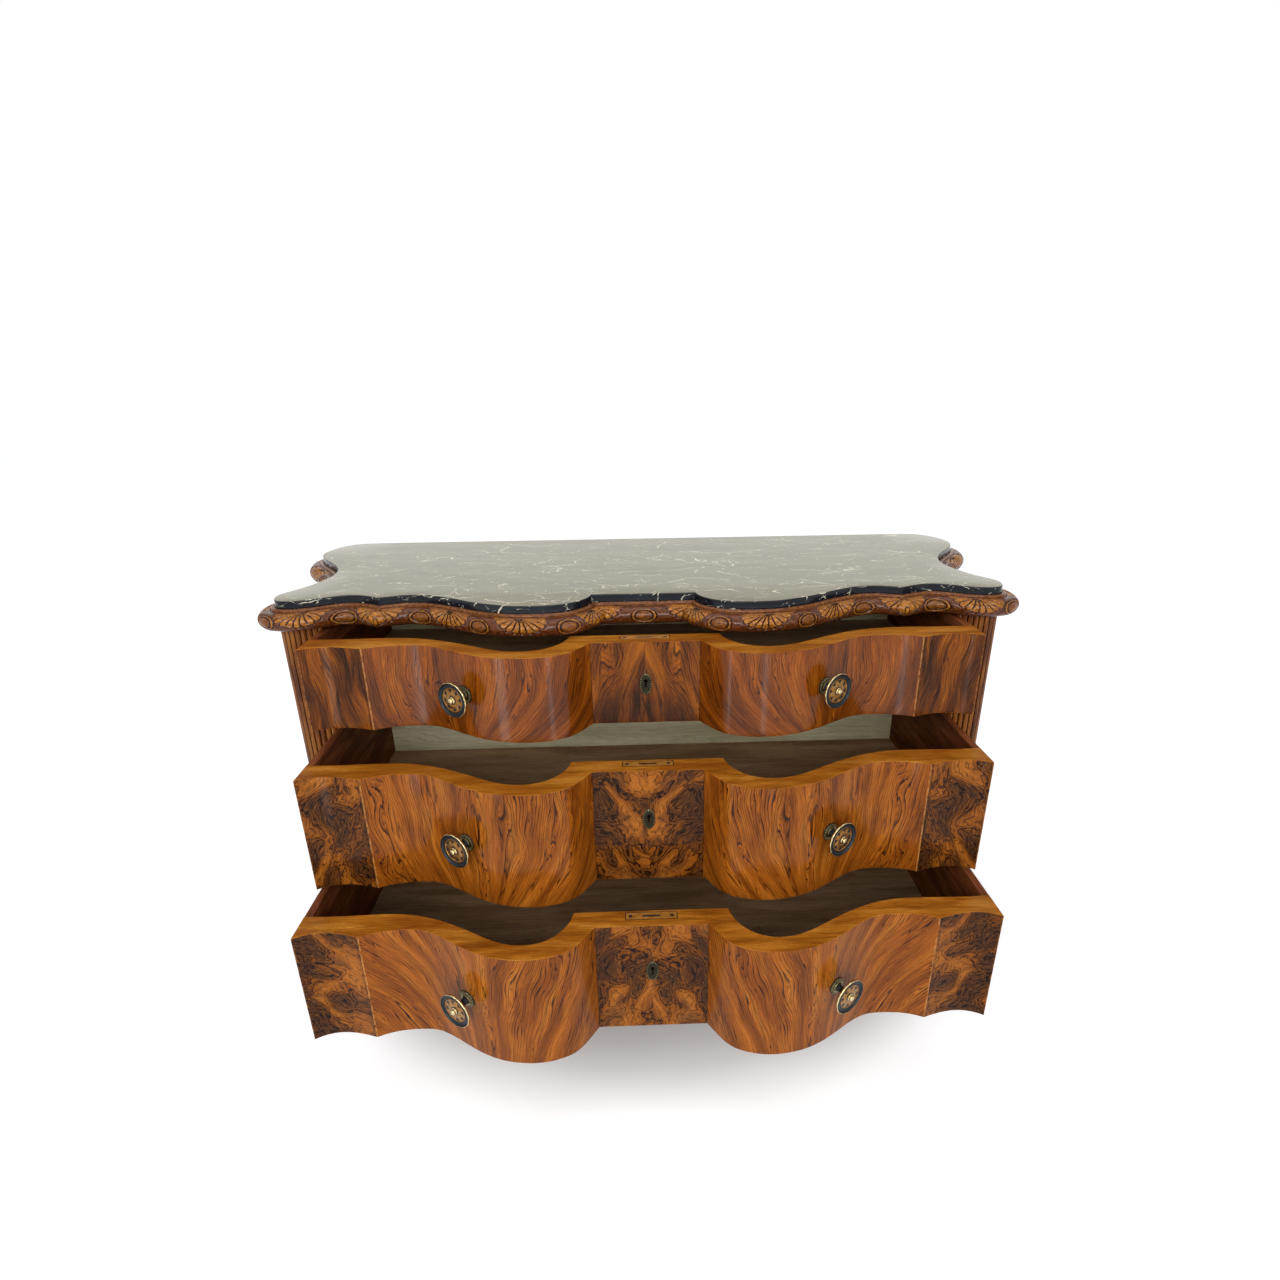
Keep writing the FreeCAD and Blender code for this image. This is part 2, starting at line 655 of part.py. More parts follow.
def makeLock(drawer, keyhole):
    # Lock case with its plate in the top edge, two screws and a bolt that rises
    name = drawer["name"]
    top = f"({drawer['z']} + {drawer['tall']})"
    middle = f"(frontPlane - {drawer['open']} + middleSet + lockSet + lockDepth / 2)"
    plate = box(name + "LockPlate", "-lockHalf", middle + " - lockDepth / 2", top + " - lockPlate",
                "2 * lockHalf", "lockDepth", "lockPlate")
    caseTall = f"({drawer['key']} + lockTail - lockPlate)"
    case = box(name + "LockBox", "-lockCaseHalf", middle + " - lockCaseWall / 2",
               f"{top} - lockPlate - {caseTall}", "2 * lockCaseHalf", "lockCaseWall", caseTall)
    solid = doc.addObject("Part::Fuse", name + "LockSolid")
    solid.Base = plate
    solid.Tool = case
    channel = box(name + "BoltChannel", "-boltHalf - boltGap", middle + " - boltWall / 2 - boltGap",
                  top + " - boltLength - boltThrow", "2 * (boltHalf + boltGap)",
                  "boltWall + 2 * boltGap", "boltLength + boltThrow + overrun")
    bolt = box(name + "Bolt", "-boltHalf", middle + " - boltWall / 2", top + " - boltLength - boltGap",
               "2 * boltHalf", "boltWall", "boltLength")
    keep(bolt, name + "_lock_bolt")
    screw = turned(name + "Screw", [
        ("0", "0"),
        ("0", "-screwLength"),
        ("screwRadius", "-screwLength + screwRadius"),
        ("screwRadius", "-screwHeadDeep"),
        ("screwHead", "0"),
    ])
    place(screw, "screwHalf", middle, top)
    screws = group(name + "Screws", [screw, mirrored(name + "ScrewLeft", screw)])
    keep(screws, name + "_lock_screws")
    keep(cut(name + "Lock", solid, [channel, keyhole, screw, mirrored(name + "ScrewSeat", screw)]),
         name + "_lock")
    return [solid, screw, mirrored(name + "ScrewHole", screw)]


def makeDrawer(drawer):
    name = drawer["name"]
    tall = drawer["tall"]
    y = f"frontPlane - {drawer['open']}"
    z = drawer["z"]
    frontBlank = extrude(name + "FrontBlank", frontOutline(name + "FrontOutline"), Vector(0, 0, 1), tall)
    place(frontBlank, "0", y, z)
    side = sideOutline(name + "SideOutline", tall)
    right = extrude(name + "SideRight", side, Vector(1, 0, 0), "sideWall")
    place(right, "frontHalf - sideWall", y, z)
    left = extrude(name + "SideLeft", side, Vector(1, 0, 0), "sideWall")
    place(left, "-frontHalf", y, z)
    panel = extrude(name + "Floor", floorOutline(name + "FloorOutline"), Vector(0, 0, 1), "floorWall")
    place(panel, "0", y, z + " + floorLift")
    back = box(name + "BackBlank", "-frontHalf", f"{y} + {drawerLength} - backWall",
               z + " + floorLift + floorWall", "2 * frontHalf", "backWall",
               tall + " - floorLift - floorWall - backDrop")
    keyhole = makeKeyhole(drawer)
    lockTools = makeLock(drawer, keyhole)
    makeEscutcheon(drawer, keyhole)
    holes = makeKnobs(drawer)
    tools = [right, left, panel, keyhole] + lockTools + holes
    keep(cut(name + "Front", frontBlank, tools), name + "_front")
    keep(cut(name + "RightSide", right, [panel]), name + "_side_right")
    keep(cut(name + "LeftSide", left, [panel]), name + "_side_left")
    keep(cut(name + "Back", back, [right, left]), name + "_back")
    keep(panel, name + "_floor")


def boltMortise(name, drawer, top):
    # The hole that a raised bolt enters when its drawer is shut
    middle = "(frontPlane + middleSet + lockSet + lockDepth / 2)"
    return box(name, "-boltHalf - mortiseGap", middle + " - boltWall / 2 - mortiseGap", top + " - overrun",
               "2 * (boltHalf + mortiseGap)", "boltWall + 2 * mortiseGap", "overrun + boltThrow + mortiseGap")


def makeRail(label, z, height, mortise):
    half = value(openingHalf)
    edges = faceEdges(value("railSet"), half)
    edges = closedByBack(edges, half, value("railSet"), value("postDepth"))
    rail = extrude(label + "Blank", outline(label + "Outline", edges), Vector(0, 0, 1), height)
    place(rail, "0", "frontPlane", z)
    if mortise:
        rail = cut(label + "Cut", rail, [mortise])
    return keep(rail, label)


def makeFrontPosts():
    # Reeded post: each reed is an arc between neighbouring points of the post's curve
    start = value(openingHalf)
    wide = value("frontHalf + postWidth - overhang") - start
    deep = value("postDepth")
    curve = splineCurve([Vector(start + across * wide, along * deep, 0) for across, along in postShares])
    edge = curve.toShape()
    count = round(edge.Length / value("reedPitch"))
    points = edge.discretize(count + 1)
    edges = []
    for before, after in zip(points, points[1:]):
        chord = after - before
        outward = Vector(chord.y, -chord.x, 0)
        outward.normalize()
        crown = (before + after) * 0.5 + outward * value("reedRise")
        edges.append(Part.Arc(before, crown, after).toShape())
    shoulder = Vector(points[-1].x, deep, 0)
    corner = Vector(start, deep, 0)
    edges.append(lineEdge(points[-1], shoulder))
    edges.append(lineEdge(shoulder, corner))
    edges.append(lineEdge(corner, points[0]))
    post = extrude("front_post_right_blank", outline("frontPostOutline", edges), Vector(0, 0, 1),
                   f"{mouldingZ} - {baseTop}")
    place(post, "0", "frontPlane", baseTop)
    keep(post, "front_post_right")
    keep(mirrored("frontPostLeft", post), "front_post_left")


def makeSidePanels():
    inset = value("overhang")
    outer = sidePoints(inset)
    shift = Vector(value("sidePanelWall"), 0, 0)
    inner = [point - shift for point in reversed(outer)]
    edges = [
        splineCurve(outer).toShape(),
        lineEdge(outer[-1], inner[0]),
        splineCurve(inner).toShape(),
        lineEdge(inner[-1], outer[0]),
    ]
    panel = extrude("sidePanelRight", outline("sidePanelOutline", edges), Vector(0, 0, 1),
                    f"{mouldingZ} - {baseTop}")
    place(panel, "0", "frontPlane", baseTop)
    keep(panel, "side_panel_right")
    keep(mirrored("sidePanelLeft", panel), "side_panel_left")


def makeRearPosts():
    outer = rearPoints(value("overhang"))
    inside = value(innerHalf)
    rear = Vector(inside, outer[-1].y, 0)
    front = Vector(inside, outer[0].y, 0)
    edges = [
        splineCurve(outer).toShape(),
        lineEdge(outer[-1], rear),
        lineEdge(rear, front),
        lineEdge(front, outer[0]),
    ]
    post = extrude("rearPostRight", outline("rearPostOutline", edges), Vector(0, 0, 1),
                   f"{mouldingZ} - {baseTop}")
    place(post, "0", "frontPlane", baseTop)
    keep(post, "rear_post_right")
    keep(mirrored("rearPostLeft", post), "rear_post_left")


def makeBackPanel():
    # Upright boards joined into one panel, with seams in its rear face
    blank = box("backPanelBlank", "-" + innerHalf, f"frontPlane + {panelFront}", baseTop,
                "2 * " + innerHalf, "backPanelWall", f"{mouldingZ} - {baseTop}")
    seams = []
    for index in range(1, backBoards):
        x = f"-{innerHalf} + 2 * {innerHalf} * {index} / {backBoards} - boardSeam / 2"
        seams.append(box(f"backSeam{index}", x, f"frontPlane + {panelFront} + backPanelWall - boardSeam",
                         baseTop + " - overrun", "boardSeam", "boardSeam + overrun",
                         f"{mouldingZ} - {baseTop} + 2 * overrun"))
    keep(cut("backPanelCut", blank, seams), "back_panel")


def makeBoards():
    # Boards behind the rails, from the front posts to the back panel
    for label, top, wall in (("bottom_board", lowerFloor, "dustBoard"),
                             ("dust_board_lower", middleFloor, "lowerRail"),
                             ("dust_board_upper", f"({middleTop} + dustBoard)", "dustBoard")):
        board = box(label + "Blank", "-" + innerHalf, "frontPlane + postDepth", f"{top} - {wall}",
                    "2 * " + innerHalf, f"{panelFront} - postDepth", wall)
        keep(board, label)


def makeRunners():
    # Runners under the drawer sides, guides beside them and stop blocks behind them
    runners = []
    guides = []
    stops = []
    for drawer in drawers:
        name = drawer["name"]
        low = drawer["board"]
        top = f"({drawer['z']} + sideLift - runnerGap)"
        runner = box(name + "Runner", innerHalf + " - runnerWidth", "frontPlane + postDepth", low,
                     "runnerWidth", f"{panelFront} - postDepth", f"{top} - {low}")
        guide = box(name + "Guide", openingHalf, "frontPlane + postDepth", top,
                    f"{innerHalf} - {openingHalf}", f"{panelFront} - postDepth", "guideHeight")
        stop = box(name + "Stop", "frontHalf - sideWall / 2 - stopWidth",
                   f"frontPlane + {drawerLength} + stopGap", top, "stopWidth", "stopDepth", "stopHeight")
        for item, items in ((runner, runners), (guide, guides), (stop, stops)):
            items += [item, mirrored(item.Name + "Left", item)]
    keep(group("runners", runners), "drawer_runners")
    keep(group("guides", guides), "drawer_guides")
    keep(group("stops", stops), "drawer_stops")


def behindCase(name, z, height):
    # Everything behind the case, to trim a moulding flush with the back
    return box(name, "-2 * " + innerHalf, "frontPlane + caseDepth", z, "4 * " + innerHalf, "caseDepth",
               height)


def frameOpening(name, z, height):
    return box(name, "-" + frameHalf, "frontPlane + frameInset", z, "2 * " + frameHalf,
               "caseDepth - frameInset - frameRear", height)


def makeTop():
    levels = []
    for step in range(-3, 4):
        angle = math.radians(step * 30)
        levels.append((f"torusReach + torusRadius * {math.cos(angle):.5f}",
                       f"{mouldingZ} + torusRadius * {1 + math.sin(angle):.5f}"))
    levels.append(("lipReach + lipGroove", f"{mouldingZ} + 2 * torusRadius + lipGroove"))
    levels.append(("lipReach", f"{marbleZ} + lipHeight"))
    ring = caseLoft("mouldingRing", levels)
    marble = caseLoft("marbleSlab", [
        ("0", marbleZ),
        ("0", f"{marbleZ} + marbleWall - marbleBevel"),
        ("-marbleBevel", f"{marbleZ} + marbleWall"),
    ])
    keep(marble, "marble_top")
    recess = caseLoft("marbleRecess", [("lipGap", marbleZ), ("lipGap", f"{marbleZ} + lipHeight + overrun")])
    mortise = boltMortise("upperMortise", drawers[2], mouldingZ)
    moulding = cut("topMoulding", ring, [
        recess,
        frameOpening("topFrameOpening", mouldingZ + " - overrun", "mouldingHeight + 2 * overrun"),
        behindCase("topBehind", mouldingZ + " - overrun", "mouldingHeight + lipHeight + 2 * overrun"),
        mortise,
    ])
    keep(moulding, "top_moulding")
    keep(frameOpening("topBoard", mouldingZ, "mouldingHeight"), "top_board")


def makeBase():
    levels = [(f"baseReach * {out}", f"footHeight + baseHeight * {up}") for out, up in baseShares]
    ring = caseLoft("baseRing", levels)
    moulding = cut("baseMoulding", ring, [
        frameOpening("baseOpening", "footHeight - overrun", "baseHeight + 2 * overrun"),
        behindCase("baseBehind", "footHeight - overrun", "baseHeight + 2 * overrun"),
    ])
    keep(moulding, "base_moulding")


def makeFeet():
    points = [("0", "0")]
    for out, up in footShares:
        points.append((f"footPadRadius + {out} * (footRadius - footPadRadius)", f"{up} * footHeight"))
    points.append(("footNeckRadius", f"{footNeckShare} * footHeight"))
    points.append(("footNeckRadius", "footHeight"))
    points.append(("0", "footHeight"))
    places = {
        "foot_front": ("frontHalf + postWidth / 2 - footPostSet", "postDepth / 2"),
        "foot_rear": ("frontHalf + postWidth - notchInset", "caseDepth - footRadius"),
    }
    for label, (x, y) in places.items():
        foot = turned(label + "Right", points)
        place(foot, x, "frontPlane + " + y, "0")
        keep(foot, label + "_right")
        keep(mirrored(label + "Left", foot), label + "_left")


makeTop()
for drawer in drawers:
    makeDrawer(drawer)
makeRail("rail_bottom", baseTop, "bottomRail", None)
makeRail("rail_lower", lowerTop, "lowerRail", boltMortise("lowerMortise", drawers[0], lowerTop))
makeRail("rail_upper", middleTop, "upperRail", boltMortise("middleMortise", drawers[1], middleTop))
makeFrontPosts()
makeSidePanels()
makeRearPosts()
makeBackPanel()
makeBoards()
makeRunners()
makeBase()
makeFeet()
doc.recompute()

for item in doc.Objects:
    if "Invalid" in item.State or "Error" in item.State:
        raise RuntimeError(f"{item.Name} is {item.State}")
for item in pieces:
    if item.Shape.isNull() or not item.Shape.isValid():
        raise RuntimeError(f"{item.Label} has no valid shape")

os.makedirs("parts", exist_ok=True)
for item in pieces:
    item.Shape.exportStep(f"parts/{item.Label}.step")
    print(item.Label, len(item.Shape.Solids), round(item.Shape.Volume))
print(len(pieces), "pieces")
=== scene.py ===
# Serpentine walnut chest of drawers with a marble top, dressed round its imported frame
import math
from functools import partial
import bpy
import bmesh
import numpy as np
from mathutils import Matrix, Vector


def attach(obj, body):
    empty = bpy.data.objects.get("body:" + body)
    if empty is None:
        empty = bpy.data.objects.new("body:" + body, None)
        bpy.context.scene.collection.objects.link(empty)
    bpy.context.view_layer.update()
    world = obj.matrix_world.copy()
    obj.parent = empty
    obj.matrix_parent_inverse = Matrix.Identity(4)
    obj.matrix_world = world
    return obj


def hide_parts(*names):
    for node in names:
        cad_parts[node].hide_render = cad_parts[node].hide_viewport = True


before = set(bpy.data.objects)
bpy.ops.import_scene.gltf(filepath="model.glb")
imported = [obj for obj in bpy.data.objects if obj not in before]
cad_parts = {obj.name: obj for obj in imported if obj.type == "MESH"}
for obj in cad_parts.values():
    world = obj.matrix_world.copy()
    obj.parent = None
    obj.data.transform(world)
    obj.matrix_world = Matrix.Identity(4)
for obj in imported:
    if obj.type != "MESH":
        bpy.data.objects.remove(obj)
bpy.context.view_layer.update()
mm = 0.001

# Sizes shared by the pieces, in millimetres; y = 0 is the plane of the shut fronts' corners
chest = {
    "frontPlane": -47.8, "frontHalf": 552, "grooveHalf": 88.7, "ridgeHalf": 451, "bulgeReach": 58.5,
    "middleSet": 4.1, "endHollow": 12, "postWidth": 82, "postDepth": 66, "caseDepth": 462,
    "topReach": 60, "waistInset": 44, "notchInset": 27.5, "notchDepth": 235, "rearSwell": 76.5,
    "baseTop": 156, "mouldingZ": 792.5, "marbleZ": 824.6, "marbleTop": 839.6,
    "frameHalf": 545, "frameFront": 45, "frameRear": 430,
}
drawers = {
    "upper": {"z": 645.1, "tall": 143.5, "open": 106, "key": 68, "seed": 1},
    "middle": {"z": 398.2, "tall": 206.5, "open": 196, "key": 84, "seed": 2},
    "lower": {"z": 183.0, "tall": 206.5, "open": 299, "key": 84, "seed": 3},
}

# Shapes in plan as shares of the sizes above: how far along, how far out
bulgeShares = [
    (0.05, 0.39), (0.106, 0.75), (0.142, 0.86), (0.238, 1.0), (0.327, 0.99), (0.426, 0.855),
    (0.528, 0.56), (0.638, 0.12), (0.757, -0.205), (0.796, -0.222), (0.9, -0.188), (1.0, 0.0),
]
endPanelShares = [(0.25, 0.62), (0.6, 1.0), (0.85, 0.62), (1.0, 0.0)]
innerShares = [
    (0.033, 0.803), (0.095, 1.197), (0.167, 1.325), (0.251, 1.231), (0.352, 0.872),
    (0.499, 0.325), (0.612, 0.068), (0.8, 0.0), (1.0, 0.0),
]
marbleShares = [
    (0.044, 0.55), (0.086, 0.767), (0.141, 0.917), (0.21, 0.992), (0.293, 1.0), (0.373, 0.942),
    (0.456, 0.767), (0.541, 0.533), (0.622, 0.217), (0.71, -0.083), (0.776, -0.267),
    (0.826, -0.333), (0.895, -0.333), (0.959, -0.217), (1.0, -0.125),
]
lobeShares = [
    (0.104, 0.258), (0.251, 0.394), (0.377, 0.379), (0.514, 0.212), (0.678, 0.0),
    (0.814, -0.076), (0.923, 0.0), (0.989, 0.288), (0.995, 0.606), (0.923, 1.0),
]
postShares = [
    (0.0, 0.12), (0.27, 0.015), (0.58, -0.046), (0.8, 0.03), (0.96, 0.3), (0.965, 0.62), (0.84, 0.93),
]
# on the side of the case: how far out, how far along
sideShares = [(0.636, 0.166), (0.864, 0.355), (1.0, 0.533), (0.955, 0.757), (0.625, 1.0)]
rearShares = [
    (0.0, 0.0), (0.438, 0.216), (0.908, 0.463), (1.0, 0.59), (0.935, 0.744),
    (0.765, 0.877), (0.542, 0.952), (0.268, 0.991), (-0.085, 1.0),
]


# Curves

def endSlope(places, points, at):
    # slope at an end of the curve, from the cubic through the nearest four points
    slope = np.zeros(2)
    for i in range(len(places)):
        others = [k for k in range(len(places)) if k != i]
        scale = np.prod([places[i] - places[k] for k in others])
        rate = sum(np.prod([at - places[k] for k in others if k != m]) for m in others)
        slope += points[i] * rate / scale
    return slope


def smoothLine(points, spacing=1.0, fineStep=0.5):
    # a lath bent through the points; gives even points along it
    points = np.array(points, float)
    gaps = np.linalg.norm(np.diff(points, axis=0), axis=1)
    at = np.concatenate([[0], np.cumsum(gaps)])
    last = len(at) - 1
    matrix = np.zeros((last + 1, last + 1))
    right = np.zeros((last + 1, 2))
    matrix[0, 0] = matrix[last, last] = 1
    right[0] = endSlope(at[:4], points[:4], at[0])
    right[last] = endSlope(at[-4:], points[-4:], at[-1])
    for i in range(1, last):
        before, after = gaps[i - 1], gaps[i]
        matrix[i, i - 1:i + 2] = 1 / before, 2 / before + 2 / after, 1 / after
        rise, nextRise = points[i] - points[i - 1], points[i + 1] - points[i]
        right[i] = 3 * (rise / before ** 2 + nextRise / after ** 2)
    slopes = np.linalg.solve(matrix, right)
    fine = np.linspace(0, at[-1], int(at[-1] / fineStep) + 2)
    i = np.clip(np.searchsorted(at, fine, "right") - 1, 0, last - 1)
    wide = gaps[i]
    u = ((fine - at[i]) / wide)[:, None]
    wide = wide[:, None]
    line = ((2 * u ** 3 - 3 * u ** 2 + 1) * points[i] + (u ** 3 - 2 * u ** 2 + u) * wide * slopes[i]
            + (3 * u ** 2 - 2 * u ** 3) * points[i + 1] + (u ** 3 - u ** 2) * wide * slopes[i + 1])
    return evenly(line, max(2, int(round(lengths(line)[-1] / spacing)) + 1))


def lengths(line):
    return np.concatenate([[0], np.cumsum(np.linalg.norm(np.diff(line, axis=0), axis=1))])


def evenly(line, count):
    run = lengths(line)
    places = np.linspace(0, run[-1], count)
    return np.column_stack([np.interp(places, run, line[:, k]) for k in range(line.shape[1])])


def outward(line):
    # unit directions to the right of travel, which is outwards here
    along = np.gradient(line, axis=0)
    along /= np.linalg.norm(along, axis=1)[:, None]
    return np.column_stack([along[:, 1], -along[:, 0]])


def spread(shares, x, y):
    # shares as places, where x and y are each a start and a run
    return [(x[0] + a * x[1], y[0] + b * y[1]) for a, b in shares]


def bulgeLine():
    groove, ridge = chest["grooveHalf"], chest["ridgeHalf"]
    points = spread(bulgeShares, (groove, ridge - groove), (0, -chest["bulgeReach"]))
    return smoothLine([(groove, chest["middleSet"])] + points)


def endPanelLine():
    ridge, end = chest["ridgeHalf"], chest["frontHalf"]
    return smoothLine([(ridge, 0)] + spread(endPanelShares, (ridge, end - ridge), (0, chest["endHollow"])))


# Mesh helpers

weldGap = 0.02 * mm


def addObject(name, data):
    thing = bpy.data.objects.new(name, data)
    bpy.context.scene.collection.objects.link(thing)
    return thing


def makeObject(name, vertices, faces):
    # a piece from places in millimetres
    mesh = bpy.data.meshes.new(name)
    mesh.from_pydata([tuple(v) for v in np.array(vertices, float) * mm], [], [tuple(f) for f in faces])
    mesh.update()
    return addObject(name, mesh)


def reshape(piece, change):
    work = bmesh.new()
    work.from_mesh(piece.data)
    change(work)
    work.to_mesh(piece.data)
    work.free()


def clean(piece, sharp=35):
    # welds doubles, drops collapsed faces, turns faces out and smooths all but sharp edges
    def mend(work):
        bmesh.ops.remove_doubles(work, verts=work.verts, dist=weldGap)
        bmesh.ops.dissolve_degenerate(work, edges=work.edges, dist=weldGap)
        bmesh.ops.recalc_face_normals(work, faces=work.faces)
    reshape(piece, mend)
    piece.data.polygons.foreach_set("use_smooth", [True] * len(piece.data.polygons))
    piece.data.set_sharp_from_angle(angle=math.radians(sharp))
    return piece


def joined(name, pieces):
    # several pieces as one, with their materials and maps kept
    bpy.ops.object.select_all(action="DESELECT")
    for piece in pieces:
        piece.select_set(True)
    bpy.context.view_layer.objects.active = pieces[0]
    bpy.ops.object.join()
    pieces[0].name = name
    pieces[0].data.name = name
    return pieces[0]


def settled(piece, modifier):
    # the modifier's result as the piece's own plain mesh
    bpy.context.view_layer.update()
    shape = bpy.data.meshes.new_from_object(piece.evaluated_get(bpy.context.evaluated_depsgraph_get()))
    piece.modifiers.remove(modifier)
    old = piece.data
    piece.data = shape
    bpy.data.meshes.remove(old)
    shape.name = piece.name
    return piece


def gridFaces(rows, columns, ring=False):
    # between rows of points that close on themselves; a ring joins the last row to the first
    faces = []
    for r in range(rows if ring else rows - 1):
        near, far = r * columns, (r + 1) % rows * columns
        for c in range(columns):
            d = (c + 1) % columns
            faces.append((near + c, near + d, far + d, far + c))
    return faces


def prismFaces(count):
    # between two equal outlines, with a face over each
    return gridFaces(2, count) + [tuple(range(count)), tuple(range(count, 2 * count))]


def blockParts(low, high):
    (x0, y0, z0), (x1, y1, z1) = low, high
    corners = [(x0, y0, z0), (x1, y0, z0), (x1, y1, z0), (x0, y1, z0),
               (x0, y0, z1), (x1, y0, z1), (x1, y1, z1), (x0, y1, z1)]
    return corners, [(0, 3, 2, 1), (4, 5, 6, 7), (0, 1, 5, 4), (1, 2, 6, 5), (2, 3, 7, 6), (3, 0, 4, 7)]


def turnedPiece(name, profile, steps, shape=None):
    # a profile of (radius, height) turned about Z; shape may change the radius and height at an angle
    rows = []
    for radius, height in profile:
        for k in range(steps):
            angle = 2 * math.pi * k / steps
            r, h = shape(radius, height, angle) if shape else (radius, height)
            rows.append((r * math.cos(angle), r * math.sin(angle), h))
    return makeObject(name, rows, gridFaces(len(profile), steps))


def paint(piece, name, values):
    # a number for each point, which a material reads to know the shape
    layer = piece.data.attributes.new(name, "FLOAT", "POINT")
    layer.data.foreach_set("value", np.array(values, np.float32))


def finishWith(piece, *materials):
    piece.data.materials.clear()
    for material in materials:
        piece.data.materials.append(material)
    return piece


def dress(piece, body, node):
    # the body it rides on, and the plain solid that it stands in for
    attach(piece, body)
    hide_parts(node)


# Node trees

def addNode(tree, kind, *feeds, out=0, stops=None, **settings):
    # one node with its settings and links, which gives the output asked for, or all of them;
    # feeds go to its sockets in order, or by name in a dictionary; a kind in capitals is a maths operation
    if kind.isupper():
        kind, settings = "Math", {"operation": kind}
    node = tree.nodes.new(kind if "Node" in kind else "ShaderNode" + kind)
    for name, value in settings.items():
        setattr(node, name, value)
    if stops:
        ramp = node.color_ramp
        while len(ramp.elements) < len(stops):
            ramp.elements.new(1.0)
        for element, (place, colour) in zip(ramp.elements, stops):
            element.position = place
            element.color = linear(colour) if isinstance(colour, str) else (colour, colour, colour, 1)
    sockets = {}
    for i, feed in enumerate(feeds):
        sockets.update(feed if isinstance(feed, dict) else {i: feed})
    for name, value in sockets.items():
        if isinstance(value, bpy.types.NodeSocket):
            tree.links.new(value, node.inputs[name])
        else:
            node.inputs[name].default_value = value
    if out is None or not node.outputs:
        return node.outputs
    return node.outputs[out]


def linear(hexColour):
    # sRGB hex to linear light
    parts = [int(hexColour[i:i + 2], 16) / 255 for i in (1, 3, 5)]
    light = [c / 12.92 if c <= 0.04045 else ((c + 0.055) / 1.055) ** 2.4 for c in parts]
    return (*light, 1)


def newMaterial(name):
    # an empty material, and the way to add nodes to it
    material = bpy.data.materials.new(name)
    material.use_nodes = True
    material.node_tree.nodes.clear()
    return material, partial(addNode, material.node_tree)


def finishMaterial(add, colour, roughness, bump=None, bumpDepth=0.1, **uniform):
    # the shader at the end of a material; the bump is in millimetres, uniform values go on its own sockets
    sockets = {name.replace("_", " "): value for name, value in uniform.items()}
    if bump is not None:
        sockets["Normal"] = add("Bump", {"Height": bump, "Distance": bumpDepth * mm, "Strength": 1.0})
    shader = add("BsdfPrincipled", {"Base Color": colour, "Roughness": roughness}, sockets)
    add("OutputMaterial", shader)


def blots(add, place, size, detail=4.0, rough=0.55, twist=0.0):
    # noise whose coarsest blots are as large as size, (x, y, z) in millimetres
    scaled = add("Mapping", {"Vector": place, "Scale": tuple(1000 / s for s in size)})
    return add("TexNoise", {
        "Vector": scaled, "Scale": 1.0, "Detail": detail, "Roughness": rough, "Distortion": twist})


def laidOver(add, colour, *tones):
    # tones laid over a colour in turn; each has the pattern it shows in, the pattern's stops, and the tone
    for pattern, stops, tone in tones:
        share = add("ValToRGB", pattern, stops=stops) if stops else pattern
        tone = linear(tone) if isinstance(tone, str) else tone
        colour = add("Mix", {0: share, 6: colour, 7: tone}, out=2, data_type="RGBA")
    return colour


def fromMiddle(add):
    # distance from the middle of the chest, in metres
    return add("ABSOLUTE", add("SeparateXYZ", add("TexCoord", out="Object")))
